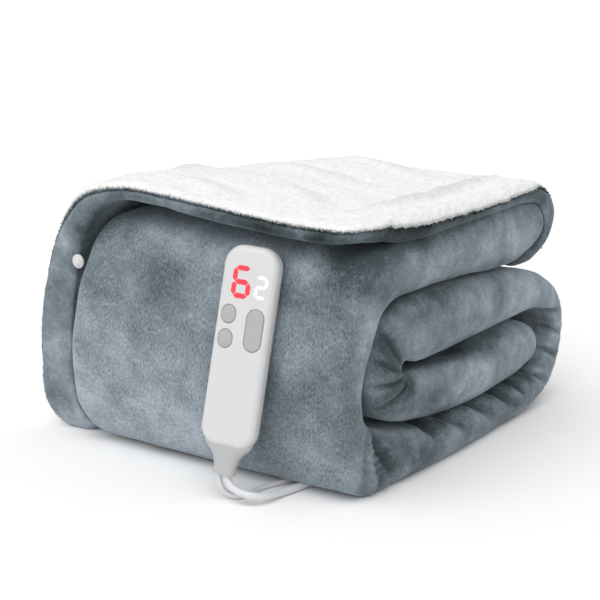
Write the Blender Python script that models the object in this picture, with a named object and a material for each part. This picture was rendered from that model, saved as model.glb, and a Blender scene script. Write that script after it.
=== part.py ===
"""Electric heated blanket, folded into a bundle, with its hand controller, leads and plug.

The blanket is folded lengthwise into a thick band.  The band runs back to front on top, down the
front, back along the floor, round the far end, forward again and round a last bend, so that its
right side shows the folds as a spiral.  A single thickness of the cloth lies over the top like a
table cloth: plush pile up, flannel hem turned over its edge.  It hangs down the left side and tucks
in over the far end.  The controller leans on the front.

Metres, +Z up.  The tables are in millimetres and are scaled by MM.
"""

import math

import bmesh
import bpy
import numpy as np
from mathutils import Matrix, Vector

MM = 0.001
GAP = 0.3  # between pieces that lie against each other

# Where the bundle's own frame, centred on its folds, lies in the part's frame.
BUNDLE_SHIFT = Vector((15.3, 20.8, 0.0)) * MM

# ---- the folded band -----------------------------------------------------------------------------
# One row a fold section, from the band's far top end to its inner end.  Each section is a rung from
# the roll's outer surface to its inner one (Y and Z), with the places of its side edges (X) and how
# far the left side is rounded.
BAND_COLUMNS = ("outer_y", "outer_z", "inner_y", "inner_z", "right_x", "left_x", "left_round")
BAND_ROWS = (
    # top run, far end first
    (104.5, 150.0, 104.5, 141.0, 124, -98, 20),
    (100.5, 156.5, 100.5, 134.5, 129, -104, 34),
    (91.0, 163.0, 91.0, 128.0, 131, -106, 42),
    (72.0, 167.5, 72.0, 121.8, 132, -107, 46),
    (44.0, 169.0, 44.0, 121.2, 132, -108, 48),
    (8.0, 169.2, 8.0, 124.0, 132, -108, 48),
    (-40.0, 169.2, -40.0, 128.0, 132, -108, 48),
    (-80.0, 169.0, -74.0, 129.0, 132, -107, 44),
    (-108.0, 167.0, -96.0, 128.5, 131, -102, 24),
    # bend over the front edge
    (-126.0, 160.5, -106.0, 125.5, 130, -101, 14),
    (-136.0, 149.0, -112.5, 119.5, 128, -104, 12),
    (-141.5, 134.0, -118.0, 111.0, 127, -106, 12),
    # front panel
    (-147.0, 114.0, -121.5, 101.0, 125, -112, 12),
    (-152.0, 92.0, -123.5, 87.0, 122, -117, 12),
    (-152.5, 70.0, -124.0, 71.0, 120, -120, 12),
    (-151.5, 47.0, -123.5, 54.0, 121, -121, 12),
    (-149.5, 25.0, -116.0, 45.0, 123, -119, 12),
    # bend under the front edge
    (-143.5, 8.5, -106.0, 41.0, 126, -110, 13),
    (-129.5, 0.6, -94.0, 38.5, 128, -101, 14),
    # bottom run
    (-108.0, 0.0, -82.0, 36.0, 129, -104, 14),
    (-78.0, 0.0, -66.0, 33.5, 130, -107, 14),
    (-40.0, 0.0, -38.0, 30.5, 131, -108, 14),
    (0.0, 0.0, 0.0, 28.0, 131, -108, 14),
    (40.0, 0.0, 38.0, 27.5, 131, -108, 14),
    (76.0, 0.6, 70.0, 28.0, 132, -108, 14),
    (102.0, 5.0, 92.0, 29.5, 132, -110, 14),
    # far bend
    (121.0, 13.5, 107.0, 33.0, 132, -113, 12),
    (135.0, 27.0, 116.5, 39.0, 131, -117, 12),
    (142.0, 42.0, 121.5, 47.5, 131, -121, 12),
    (144.5, 58.0, 123.0, 56.5, 131, -124, 12),
    (141.0, 74.0, 120.5, 66.5, 131, -124, 12),
    (130.0, 89.0, 112.0, 75.0, 132, -124, 13),
    (111.0, 102.0, 95.0, 79.5, 132, -124, 14),
    # middle run
    (84.0, 112.0, 76.0, 80.2, 133, -124, 16),
    (56.0, 117.6, 50.0, 79.6, 133, -123, 18),
    (25.0, 120.6, 24.0, 79.0, 133, -121, 19),
    (-10.0, 123.4, -10.0, 78.5, 133, -119, 19),
    (-45.0, 125.8, -45.0, 78.5, 133, -119, 19),
    (-75.0, 126.4, -70.0, 79.5, 132, -119, 19),
    (-95.0, 124.0, -76.5, 81.5, 130, -119, 18),
    # near bend, round the finger-wide hollow
    (-109.0, 116.0, -79.5, 81.0, 128, -119, 15),
    (-117.5, 103.0, -81.2, 79.0, 126, -119, 13),
    (-120.5, 86.0, -81.8, 77.0, 125, -121, 12),
    (-120.5, 70.0, -81.2, 75.0, 125, -121, 12),
    (-115.0, 56.5, -79.5, 73.4, 126, -121, 13),
    (-103.5, 46.5, -75.5, 72.6, 127, -119, 14),
    # innermost run, which ends before the far bend
    (-86.0, 41.0, -65.0, 73.0, 129, -117, 16),
    (-62.0, 36.6, -46.0, 74.5, 130, -117, 18),
    (-30.0, 33.0, -20.0, 75.9, 131, -117, 19),
    (5.0, 30.6, 10.0, 76.6, 131, -117, 19),
    (38.0, 30.2, 38.0, 77.0, 131, -117, 19),
    (66.0, 30.8, 64.0, 76.2, 130, -115, 19),
    (88.0, 32.8, 86.0, 72.0, 129, -111, 17),
    (103.0, 37.0, 102.0, 64.5, 127, -105, 13),
    (113.0, 43.5, 112.5, 56.0, 121, -98, 10),
)
# How the upper far left has settled under its own weight: from SETTLE_FROM towards the far end and
# above SETTLE_ABOVE, by a share that grows evenly to the left and more steeply past SETTLE_STEEP.
SETTLE_FROM, SETTLE_FULL = -95.0, 60.0  # Y
SETTLE_ABOVE, SETTLE_TOP = 112.0, 170.0  # Z
SETTLE_RIGHT, SETTLE_STEEP, SETTLE_LEFT = 131.0, -20.0, -100.0  # X
SETTLE_EVEN, SETTLE_MORE = 4.2, 11.0
BAND_STEP = 14.5  # between two sections of the band
EDGE_DEPTH = 0.62  # depth of a rounded side edge, as a share of half the band's thickness there
DEEPEST_EDGE = 13.0
QUARTER_STEPS = 3  # facets in each quarter of a side edge

# ---- the cloth that lies over the top --------------------------------------------------------------
# Across it, from its right edge, over the left side, to where it tucks under: its inner and outer
# face (X and Z), the Y of its front edge, how far it has turned from top (0) to side (1), and the
# share of the path over the far end that it takes.
OVER_COLUMNS = ("inner_x", "inner_z", "outer_x", "outer_z", "front_y", "side", "reach")
OVER_ROWS = (
    (125.0, 162.5, 133.2, 171.0, -133, 0.0, 1.00),
    (120.0, 170.4, 125.0, 178.2, -144, 0.0, 1.00),
    (102.0, 171.0, 103.0, 178.2, -149, 0.0, 1.00),
    (70.0, 171.3, 70.0, 178.0, -147, 0.0, 1.00),
    (30.0, 173.0, 30.0, 180.0, -145, 0.0, 1.00),
    (-8.0, 175.0, -8.0, 182.5, -144, 0.0, 1.00),
    (-41.0, 176.5, -41.0, 185.0, -143, 0.0, 0.97),
    (-68.0, 175.5, -70.0, 186.0, -142, 0.04, 0.90),
    (-85.0, 170.5, -92.0, 183.0, -142, 0.20, 0.84),
    (-97.0, 163.0, -107.0, 177.5, -142, 0.42, 0.80),
    (-107.0, 152.5, -121.0, 167.0, -141, 0.64, 0.78),
    (-114.5, 139.0, -133.0, 152.0, -140, 0.82, 0.78),
    (-119.5, 123.0, -142.5, 135.5, -139, 0.94, 0.78),
    (-124.0, 105.0, -150.0, 116.5, -138, 1.0, 0.78),
    (-127.0, 86.0, -155.5, 95.5, -138, 1.0, 0.78),
    (-128.5, 66.0, -159.0, 72.0, -138, 1.0, 0.78),
    (-128.5, 49.0, -159.5, 51.0, -138, 1.0, 0.78),
    (-127.5, 34.0, -160.0, 32.0, -138, 1.0, 0.78),
    (-125.0, 21.0, -156.0, 15.5, -138, 1.0, 0.78),
    (-120.5, 11.8, -146.0, 4.4, -136, 1.0, 0.78),
    (-115.5, 6.8, -130.5, 0.0, -133, 1.0, 0.78),
    (-110.0, 4.8, -114.0, 0.0, -130, 1.0, 0.78),
)
# Along it, from the front edge, over the far end, to where it tucks in under the top run: the Y of
# each face, and how far the face has sunk below the top.
ALONG_COLUMNS = ("outer_y", "outer_drop", "inner_y", "inner_drop", "levelled")
ALONG_ROWS = (
    (-142.0, 0.0, -142.0, 0.0, 0.0),
    (-108.0, -1.5, -108.0, 0.0, 0.0),
    (-68.0, -1.0, -68.0, 0.0, 0.0),
    (-26.0, 0.5, -26.0, 0.0, 0.0),
    (18.0, 1.5, 18.0, 0.3, 0.0),
    (56.0, 1.2, 52.0, 1.0, 0.1),
    (84.0, 3.4, 76.0, 3.0, 0.3),
    (103.0, 8.4, 94.5, 7.8, 0.5),
    (114.5, 17.0, 102.5, 15.0, 0.7),
    (120.5, 26.5, 107.3, 22.5, 0.85),
    (120.0, 34.5, 108.9, 29.5, 1.0),
    (116.0, 41.5, 108.0, 35.0, 1.0),
    (110.0, 47.5, 104.5, 39.6, 1.0),
    (102.0, 52.0, 98.5, 43.2, 1.0),
    (93.5, 55.5, 91.5, 46.0, 1.0),
    (86.0, 57.5, 85.0, 48.0, 1.0),
)
RIGHT_EDGE_OUTER_Z = 180.0  # what the drops are measured from
RIGHT_EDGE_INNER_Z = 171.5
SIDE_DROP = 0.3  # the share of the drop that the hanging side takes
HEM = 9.0  # width of the turned hem
# Lines of the grid near the rim, and the thickness there: height of the lower and the upper face, as
# shares of the whole cloth's.  The plush, which starts inside the hem, lies on its flannel backing.
RIM_LINES = (0.0, 2.5, HEM, HEM + 0.3, HEM + 1.5, HEM + 5.0, HEM + 12.0)
HEM_ROWS = ((0.0, 0.42, 0.58), (2.5, 0.06, 0.94), (HEM, 0.0, 0.94), (HEM + 0.3, 0.0, 0.42))
PLUSH_ROWS = ((HEM + 1.5, 0.48, 0.84), (HEM + 5.0, 0.48, 1.0))
# How far the plush stands above the cloth's thickness, from the rim towards the middle of the top,
# and the share of it that stands on the hanging side.
PILE_DISTANCES = (HEM + 1.5, HEM + 5.0, HEM + 12.0)
PILE_HEIGHTS = (0.6, 4.8, 7.8)
SIDE_PILE = 0.4
OVER_STEP = 23.0  # between two lines of the grid, away from the rim

# ---- groove for the leads and pocket for the lead's inlet --------------------------------------------
GROOVE_X = 71.0
GROOVE_WIDTH = 25.0
GROOVE_HEIGHT = 7.0
GROOVE_LENGTH = 330.0
GROOVE_ROUND = 3.0
INLET_AT = Vector((-14.0, 112.0, 9.5))
INLET_SIZE = Vector((34.0, 30.0, 13.0))
INLET_ROUND = 3.0

# ---- snap fastener ------------------------------------------------------------------------------
SNAP_AT = Vector((-116.2, -139.7, 129.5))
SNAP_RADIUS = 5.2
SNAP_DEPTH = 3.4

# ---- controller, in its own frame: X across, Z along, face towards -Y ---------------------------------
CONTROLLER_AT = Vector((46.1, -161.4, 99.2))
CONTROLLER_TURN = math.radians(10.0)  # towards the right
CONTROLLER_LEAN = math.radians(13.0)  # back onto the panel
CONTROLLER_ROLL = math.radians(3.3)  # its top to the right
BODY_LENGTH = 132.0
BODY_WIDTH = 39.2
BODY_DEPTH = 15.0
TOP_CORNER = 13.5
BOTTOM_CORNER = 12.6
SEAM_Y = 2.0  # the parting line, behind the middle
FACE_ROUND = 3.5
BACK_ROUND = 5.0
BUTTON_WIDTH = 10.4
BUTTON_LENGTH = 12.0
BUTTON_X = -10.1
BUTTON_ZS = {"button_power": 20.5, "button_timer": 4.4}
ROCKER_AT = (9.4, 12.4)
ROCKER_WIDTH = 12.2
ROCKER_LENGTH = 27.4
BUTTON_PROUD = 0.9
BUTTON_TALL = 4.2
BUTTON_ROUND = 0.7
WELL_DEPTH = 4.6  # below the face
BOOT_LENGTH = 17.8
BOOT_ROWS = (  # down the boot: distance, half width, half depth
    (0.0, 14.6, 6.4),
    (2.4, 13.0, 6.1),
    (6.6, 9.8, 5.5),
    (11.4, 8.1, 5.0),
    (BOOT_LENGTH, 7.4, 4.8),
)
BOOT_SQUARENESS = 0.7  # 1 would make its section an ellipse, and less makes it squarer

# ---- leads ---------------------------------------------------------------------------------------
MAINS_DIAMETER = 5.2
LEAD_DIAMETER = 3.6
LEAD_STEP = 8.0  # between two rings of a lead
END_STEP = 1.2  # the first and the last of them
# Points chosen by hand, in the bundle's frame: out of the boot, over the floor, under the bundle.
MAINS_ROUTE = (
    (46.9, -180.5, 17.1),
    (46.9, -180.8, 15.9),
    (48.8, -181.9, 12.9),
    (53.0, -182.6, 10.1),
    (59.1, -182.2, 8.1),
    (66.6, -180.2, 6.9),
    (71.2, -171.6, 5.2),
    (72.6, -160.0, 3.6),
    (74.6, -148.3, 2.7),
    (76.6, -136.9, 2.7),
    (78.6, -115.0, 2.7),
    (78.0, -80.0, 2.7),
    (77.6, -40.0, 2.7),
    (78.0, 0.0, 2.7),
    (78.0, 40.0, 2.7),
    (77.6, 80.0, 2.7),
    (77.0, 112.0, 2.7),
    (74.5, 137.0, 2.7),
    (68.9, 156.8, 2.7),
)
LEAD_ROUTE = (
    (41.1, -181.5, 17.4),
    (41.1, -181.8, 16.2),
    (41.8, -182.3, 12.1),
    (43.3, -181.8, 7.7),
    (45.9, -179.4, 3.7),
    (50.8, -177.0, 1.9),
    (55.0, -170.4, 1.9),
    (54.9, -158.3, 1.9),
    (56.7, -149.6, 1.9),
    (59.6, -142.0, 1.9),
    (62.8, -132.8, 1.9),
    (64.6, -115.0, 1.9),
    (65.0, -80.0, 1.9),
    (65.4, -40.0, 1.9),
    (65.0, 0.0, 1.9),
    (65.0, 40.0, 1.9),
    (65.2, 80.0, 1.9),
    (63.5, 98.0, 1.9),
    (56.0, 110.5, 1.9),
    (43.0, 116.0, 2.2),
    (28.0, 117.2, 4.2),
    (14.0, 117.0, 6.6),
    (3.4, 117.0, 7.4),
)
COIL_AT = Vector((39.6, 178.5, 8.0))
COIL_MEAN_RADIUS = 28.5
COIL_THICK_RADIUS = 7.9
TAIL_ROUTE = (
    (13.8, 204.4, 5.0),
    (7.0, 210.5, 4.6),
    (-3.0, 213.2, 6.2),
    (-13.0, 211.4, 8.3),
    (-24.3, 206.5, 9.2),
)
PLUG_AT = Vector((-40.2, 199.0, 9.2))
PLUG_TURN = math.radians(-65.0)  # of its own Y axis, which points from the blades to the cord
PLUG_SIZE = Vector((24.0, 34.0, 18.0))
PLUG_ROUND = 4.5
BLADE_SIZE = Vector((1.5, 16.0, 6.3))
BLADE_SPACING = 12.7
BLADE_SUNK = 6.0

COLOURS = {
    "flannel": ((0.165, 0.215, 0.255, 1.0), 0.9),
    "plush": ((0.86, 0.86, 0.84, 1.0), 0.95),
    "white_plastic": ((0.80, 0.80, 0.81, 1.0), 0.35),
    "grey_button": ((0.48, 0.48, 0.49, 1.0), 0.45),
    "boot_grey": ((0.58, 0.58, 0.59, 1.0), 0.5),
    "cord_grey": ((0.64, 0.64, 0.65, 1.0), 0.45),
    "blade_metal": ((0.62, 0.60, 0.56, 1.0), 0.3),
}


# ---- tools ---------------------------------------------------------------------------------------
def clear_scene():
    for obj in list(bpy.data.objects):
        bpy.data.objects.remove(obj, do_unlink=True)


def collection(name):
    made = bpy.data.collections.new(name)
    bpy.context.scene.collection.children.link(made)
    return made


def material(name):
    colour, roughness = COLOURS[name]
    made = bpy.data.materials.new(name)
    made.use_nodes = True
    shader = made.node_tree.nodes["Principled BSDF"]
    shader.inputs["Base Color"].default_value = colour
    shader.inputs["Roughness"].default_value = roughness
    shader.inputs["Metallic"].default_value = 1.0 if name == "blade_metal" else 0.0
    return made


def place(obj, home, finish=None, parent=None):
    """Moves the object to its collection, gives it its finish and hangs it on its parent."""
    for held in list(obj.users_collection):
        held.objects.unlink(obj)
    home.objects.link(obj)
    if finish:
        obj.data.materials.clear()
        obj.data.materials.append(finish)
    if parent:
        obj.parent = parent
    return obj


def as_cutter(obj):
    obj.hide_render = True
    obj.display_type = "WIRE"
    return obj


def mesh_object(name, bm, sharp_above=math.radians(40)):
    bmesh.ops.recalc_face_normals(bm, faces=bm.faces)
    mesh = bpy.data.meshes.new(name)
    bm.to_mesh(mesh)
    bm.free()
    mesh.shade_smooth()
    mesh.set_sharp_from_angle(angle=sharp_above)
    return bpy.data.objects.new(name, mesh)


def through(rows, step):
    """Even steps, about this far apart, along the smooth curve through the rows.

    Each stretch is a cubic whose end slopes are those between a row's two neighbours.  Distance is
    measured over the first two columns.
    """
    rows = np.array(rows, float)
    along = np.concatenate([[0], np.cumsum(np.linalg.norm(np.diff(rows[:, :2], axis=0), axis=1))])
    return sample(rows, along, np.linspace(0, along[-1], max(2, round(along[-1] / step) + 1)))


def sample(rows, along, at):
    """The cubic through the rows, which lie at the places along, read at the places at."""
    slopes = np.gradient(rows, along, axis=0)
    k = np.clip(np.searchsorted(along, at, side="right") - 1, 0, len(along) - 2)
    width = (along[k + 1] - along[k])[:, None]
    t = ((at - along[k])[:, None]) / width
    return (
        (2 * t**3 - 3 * t**2 + 1) * rows[k]
        + (t**3 - 2 * t**2 + t) * slopes[k] * width
        + (3 * t**2 - 2 * t**3) * rows[k + 1]
        + (t**3 - t**2) * slopes[k + 1] * width
    )


def loft(name, rings):
    """A closed body through equal rings of points, each end closed by one face."""
    rings = np.asarray(rings) * MM
    bm = bmesh.new()
    made = [[bm.verts.new(point) for point in ring] for ring in rings]
    count = len(made[0])
    for lower, upper in zip(made, made[1:]):
        for i in range(count):
            j = (i + 1) % count
            bm.faces.new((lower[i], lower[j], upper[j], upper[i]))
    bm.faces.new(made[0])
    bm.faces.new(made[-1])
    return mesh_object(name, bm)


def blanket_of(name, lower, upper):
    """A closed sheet between two grids of points, joined along their rims."""
    bm = bmesh.new()
    grids = [[[bm.verts.new(p * MM) for p in row] for row in grid] for grid in (lower, upper)]
    rows, columns = len(lower), len(lower[0])
    for grid in grids:
        for i in range(rows - 1):
            for j in range(columns - 1):
                corner, opposite = grid[i][j], grid[i + 1][j + 1]
                bm.faces.new((corner, grid[i + 1][j], opposite))
                bm.faces.new((corner, opposite, grid[i][j + 1]))
    rim = [(i, 0) for i in range(rows)] + [(rows - 1, j) for j in range(1, columns)]
    rim += [(i, columns - 1) for i in range(rows - 2, -1, -1)]
    rim += [(0, j) for j in range(columns - 2, 0, -1)]
    below, above = grids
    for (i, j), (k, l) in zip(rim, rim[1:] + rim[:1]):
        a, b, c, d = below[i][j], below[k][l], above[k][l], above[i][j]
        # split along the same diagonal as the wall that faces it
        for corners in ((a, b, d), (b, c, d)) if j == l else ((a, b, c), (a, c, d)):
            bm.faces.new(corners)
    return mesh_object(name, bm)


def block(name, size, centre, rounding=0.0, segments=2):
    bm = bmesh.new()
    bmesh.ops.create_cube(bm, size=1.0, matrix=Matrix.Diagonal((*(size * MM), 1.0)))
    if rounding:
        bmesh.ops.bevel(bm, geom=bm.edges[:], offset=rounding * MM, segments=segments,
                        profile=0.5, affect="EDGES", clamp_overlap=True)
    made = mesh_object(name, bm)
    made.location = centre * MM
    return made


def boolean(obj, tool, operation):
    modifier = obj.modifiers.new(tool.name, "BOOLEAN")
    modifier.operation = operation
    modifier.object = tool
    modifier.solver = "EXACT"


def tube(name, points, diameter, step):
    """A round cord along the smooth curve through the points, its ends cut square to the curve."""
    rows = np.array(points, float)
    along = np.concatenate([[0], np.cumsum(np.linalg.norm(np.diff(rows, axis=0), axis=1))])
    length = along[-1]
    at = np.linspace(0, length, round(length / step) + 1)
    line = sample(rows, along, np.r_[0, END_STEP, at[1:-1], length - END_STEP, length])
    curve = bpy.data.curves.new(name, "CURVE")
    curve.dimensions = "3D"
    curve.bevel_depth = diameter / 2 * MM
    curve.bevel_resolution = 2
    curve.use_fill_caps = True
    spline = curve.splines.new("POLY")
    spline.points.add(len(line) - 1)
    spline.points.foreach_set("co", np.c_[line * MM, np.ones(len(line))].ravel())
    return bpy.data.objects.new(name, curve)


# ---- the cloth -----------------------------------------------------------------------------------
def settled(points):
    """The points, the upper folds lowered towards the far left, and none below the floor."""
    points = np.asarray(points, float)
    x, y, z = points[..., 0], points[..., 1], points[..., 2]
    back = np.clip((y - SETTLE_FROM) / (SETTLE_FULL - SETTLE_FROM), 0, 1.3)
    even = np.clip((SETTLE_RIGHT - x) / (SETTLE_RIGHT - SETTLE_LEFT), 0, 1)
    steep = np.clip((SETTLE_STEEP - x) / (SETTLE_STEEP - SETTLE_LEFT), 0, 1)
    high = np.clip((z - SETTLE_ABOVE) / (SETTLE_TOP - SETTLE_ABOVE), 0, 1)
    drop = back * high * (SETTLE_EVEN * even + SETTLE_MORE * steep**2 * (3 - 2 * steep))
    return np.stack([x, y, np.maximum(z - drop, 0)], axis=-1)


def band_ring(row):
    """One section of the band: a rung thick, flat above and below, round at both sides."""
    r = dict(zip(BAND_COLUMNS, row))
    outer = np.array((0, r["outer_y"], r["outer_z"]))
    inner = np.array((0, r["inner_y"], r["inner_z"]))
    middle, half = (outer + inner) / 2, (outer - inner) / 2
    depth = min(DEEPEST_EDGE, EDGE_DEPTH * np.linalg.norm(half))
    round_left = r["left_round"]
    # a deep shoulder on the left starts near the inner face
    waist = -0.72 * min(1.0, max(0.0, (round_left - 18) / 26))
    turns = np.linspace(0, math.pi / 2, QUARTER_STEPS + 1)
    across, up = [], []
    for t in turns:  # outer face to right edge
        across.append(r["right_x"] - depth + depth * math.sin(t))
        up.append(math.cos(t))
    for t in turns[1:]:  # right edge to inner face
        across.append(r["right_x"] - depth + depth * math.cos(t))
        up.append(-math.sin(t))
    for t in turns:  # inner face to left edge
        across.append(r["left_x"] + min(depth, round_left) * (1 - math.sin(t)))
        up.append(waist - (1 + waist) * math.cos(t))
    for t in turns[1:]:  # left edge to outer face
        across.append(r["left_x"] + round_left * (1 - math.cos(t)))
        up.append(waist + (1 - waist) * math.sin(t))
    return [middle + half * u + np.array((x, 0, 0)) for x, u in zip(across, up)]


def folded_band():
    rings = np.array([band_ring(row) for row in through(BAND_ROWS, BAND_STEP)])
    return loft("flannel_cloth", settled(rings))


def grid_lines(length):
    """Places along a length: the rim's lines at both ends, and even lines between them."""
    rim = np.array(RIM_LINES)
    count = round((length - 2 * rim[-1]) / OVER_STEP) + 1
    inside = np.linspace(rim[-1], length - rim[-1], count)
    return np.concatenate([rim[:-1], inside, length - rim[:-1][::-1]])


def over_grids(rim_rows, pile_share=0.0):
    """The lower and the upper face of a layer of the cloth over the top, as grids of points."""
    over = np.array(OVER_ROWS, float)
    along = np.array(ALONG_ROWS, float)
    u_at = np.concatenate([[0], np.cumsum(np.linalg.norm(np.diff(over[:, 2:4], axis=0), axis=1))])
    v_at = np.concatenate([[0], np.cumsum(np.linalg.norm(np.diff(along[:, :2], axis=0), axis=1))])
    us, vs = grid_lines(u_at[-1]), grid_lines(v_at[-1])
    rim = np.array(rim_rows)
    full, near = v_at[-1], RIM_LINES[-1]
    skipped = RIM_LINES.index(rim_rows[0][0])
    kept = slice(skipped, -skipped or None)
    lower, upper = [], []
    for u, over_row in zip(us[kept], sample(over, u_at, us[kept])):
        o = dict(zip(OVER_COLUMNS, over_row))
        # a line keeps its distance from the far edge where the cloth stops short of the full path
        reach = o["reach"] * full
        places = np.where(vs < near, vs, np.where(
            vs > full - near, reach - (full - vs),
            near + (vs - near) * (reach - 2 * near) / (full - 2 * near)))[kept]
        side = o["side"]
        lean = side * math.pi / 2
        sink = 1 - (1 - SIDE_DROP) * side
        low_line, up_line = [], []
        for v, place_v, along_row in zip(vs[kept], places, sample(along, v_at, places)):
            a = dict(zip(ALONG_COLUMNS, along_row))
            front = np.clip(1 - place_v / v_at[1], 0, 1) * (o["front_y"] - along[0, 0])
            level = a["levelled"] * (1 - side)
            faces = []
            for which, top_z in (("outer", RIGHT_EDGE_OUTER_Z), ("inner", RIGHT_EDGE_INNER_Z)):
                drop = a[which + "_drop"] * sink
                faces.append(np.array((
                    o[which + "_x"] + drop * math.sin(lean),
                    a[which + "_y"] + front,
                    o[which + "_z"] - (o[which + "_z"] - top_z) * level - drop * math.cos(lean),
                )))
            outer, inner = faces
            edge = min(u, u_at[-1] - u, v, full - v)
            low = np.interp(edge, rim[:, 0], rim[:, 1])
            high = np.interp(edge, rim[:, 0], rim[:, 2])
            pile = pile_share * np.interp(edge, PILE_DISTANCES, PILE_HEIGHTS)
            pile *= (1 - (1 - SIDE_PILE) * side) * (1 - a["levelled"]**2)
            outwards = (outer - inner) / np.linalg.norm(outer - inner)
            low_line.append(inner + (outer - inner) * low)
            up_line.append(inner + (outer - inner) * high + outwards * pile)
        lower.append(low_line)
        upper.append(up_line)
    return settled(lower), settled(upper)


def make_cloth(parts, tools, frame):
    cloth = place(folded_band(), parts, material("flannel"), frame)
    backing = place(blanket_of("over_layer", *over_grids(HEM_ROWS)), tools, parent=frame)
    boolean(cloth, as_cutter(backing), "UNION")
    groove = block("lead_groove", Vector((GROOVE_WIDTH, GROOVE_LENGTH, 2 * GROOVE_HEIGHT)),
                   Vector((GROOVE_X, 0, 0)), rounding=GROOVE_ROUND)
    pocket = block("inlet_pocket", INLET_SIZE + Vector((2, 2, 2)) * GAP, INLET_AT)
    for cutter in (groove, pocket):
        boolean(cloth, as_cutter(place(cutter, tools, parent=frame)), "DIFFERENCE")
    place(blanket_of("sherpa_lining", *over_grids(PLUSH_ROWS, 1.0)), parts, material("plush"), frame)


def make_snap(parts, frame):
    """A low domed stud, its flat back against the hanging edge's front."""
    bm = bmesh.new()
    bmesh.ops.create_cone(bm, cap_ends=True, segments=20, radius1=SNAP_RADIUS * MM,
                          radius2=SNAP_RADIUS * MM, depth=SNAP_DEPTH * MM,
                          matrix=Matrix.Rotation(math.pi / 2, 4, "X"))
    front = [e for e in bm.edges if all(v.co.y < 0 for v in e.verts)]
    bmesh.ops.bevel(bm, geom=front, offset=SNAP_DEPTH * 0.6 * MM, segments=3, profile=0.5,
                    affect="EDGES")
    snap = place(mesh_object("snap_button", bm), parts, material("white_plastic"), frame)
    snap.location = SNAP_AT * MM


# ---- the controller --------------------------------------------------------------------------------
def body_outline(inset=0.0, steps=6):
    """The controller's outline, drawn in by an inset, anticlockwise seen from behind."""
    points = []
    for side_x, side_z, radius, start in (
        (1, 1, TOP_CORNER, 0),
        (-1, 1, TOP_CORNER, 1),
        (-1, -1, BOTTOM_CORNER, 2),
        (1, -1, BOTTOM_CORNER, 3),
    ):
        x = side_x * (BODY_WIDTH / 2 - radius)
        z = side_z * (BODY_LENGTH / 2 - radius)
        for k in range(steps + 1):
            turn = (start + k / steps) * math.pi / 2
            r = radius - inset
            points.append((x + r * math.cos(turn), z + r * math.sin(turn)))
    return points


def shell(name, seam_y, face_y, rounding):
    """Half of the controller's case: outline carried from the seam to a rounded face."""
    towards = math.copysign(1, face_y - seam_y)
    levels = [(seam_y, 0.0), (face_y - towards * rounding, 0.0)]
    for k in range(1, 4):
        turn = k / 3 * math.pi / 2
        levels.append((face_y - towards * rounding * (1 - math.sin(turn)),
                       rounding * (1 - math.cos(turn))))
    rings = [[(x, y, z) for x, z in body_outline(inset)] for y, inset in levels]
    return loft(name, rings)


def stadium(name, width, length, tall, centre, rounding):
    """A plate with round ends, standing off the face along Y, its front edge softened."""
    bm = bmesh.new()
    straight = (length - width) / 2
    steps = 10
    outline = []
    for end in (1, -1):
        for k in range(steps + 1 if straight else steps):
            turn = math.pi * k / steps + (0 if end > 0 else math.pi)
            outline.append((width / 2 * math.cos(turn), end * straight + width / 2 * math.sin(turn)))
    front = [bm.verts.new((x * MM, -tall / 2 * MM, z * MM)) for x, z in outline]
    face = bm.faces.new(front)
    made = bmesh.ops.extrude_face_region(bm, geom=[face])
    moved = [v for v in made["geom"] if isinstance(v, bmesh.types.BMVert)]
    bmesh.ops.translate(bm, verts=moved, vec=(0, tall * MM, 0))
    if rounding:
        rim = [e for e in bm.edges if all(abs(v.co.y + tall / 2 * MM) < 1e-7 for v in e.verts)]
        bmesh.ops.bevel(bm, geom=rim, offset=rounding * MM, segments=2, profile=0.5, affect="EDGES")
    obj = mesh_object(name, bm)
    obj.location = centre * MM
    return obj


def make_controller(parts, tools, frame):
    """The case in two shells, with three buttons in wells in its face, and the boot under it."""
    pivot = bpy.data.objects.new("controller", None)
    parts.objects.link(pivot)
    pivot.parent = frame
    pivot.matrix_local = (
        Matrix.Translation(CONTROLLER_AT * MM)
        @ Matrix.Rotation(CONTROLLER_TURN, 4, "Z")
        @ Matrix.Rotation(-CONTROLLER_LEAN, 4, "X")
        @ Matrix.Rotation(CONTROLLER_ROLL, 4, "Y")
    )
    face_y = -BODY_DEPTH / 2
    white, grey = material("white_plastic"), material("grey_button")
    back = shell("controller_back", SEAM_Y + GAP / 2, BODY_DEPTH / 2, BACK_ROUND)
    front = shell("controller_front", SEAM_Y - GAP / 2, face_y, FACE_ROUND)
    place(back, parts, white, pivot)
    place(front, parts, white, pivot)
    centres = {name: (BUTTON_X, z) for name, z in BUTTON_ZS.items()}
    shapes = {name: (BUTTON_WIDTH, BUTTON_LENGTH) for name in centres}
    centres["button_rocker"] = ROCKER_AT
    shapes["button_rocker"] = (ROCKER_WIDTH, ROCKER_LENGTH)
    for name, (x, z) in centres.items():
        width, length = shapes[name]
        middle = Vector((x, face_y - BUTTON_PROUD + BUTTON_TALL / 2, z))
        place(stadium(name, width, length, BUTTON_TALL, middle, BUTTON_ROUND), parts, grey, pivot)
        well = stadium(name + "_well", width + 2 * GAP, length + 2 * GAP, 2 * WELL_DEPTH,
                       Vector((x, face_y, z)), 0.0)
        boolean(front, as_cutter(place(well, tools, parent=pivot)), "DIFFERENCE")
    rings = []
    for down, half_width, half_depth in BOOT_ROWS:
        turns = np.linspace(0, 2 * math.pi, 20, endpoint=False)
        rings.append([(
            half_width * math.copysign(abs(math.cos(t)) ** BOOT_SQUARENESS, math.cos(t)),
            half_depth * math.copysign(abs(math.sin(t)) ** BOOT_SQUARENESS, math.sin(t)),
            -BODY_LENGTH / 2 - GAP - down,
        ) for t in turns])
    place(loft("cord_boot", rings), parts, material("boot_grey"), pivot)


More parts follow.
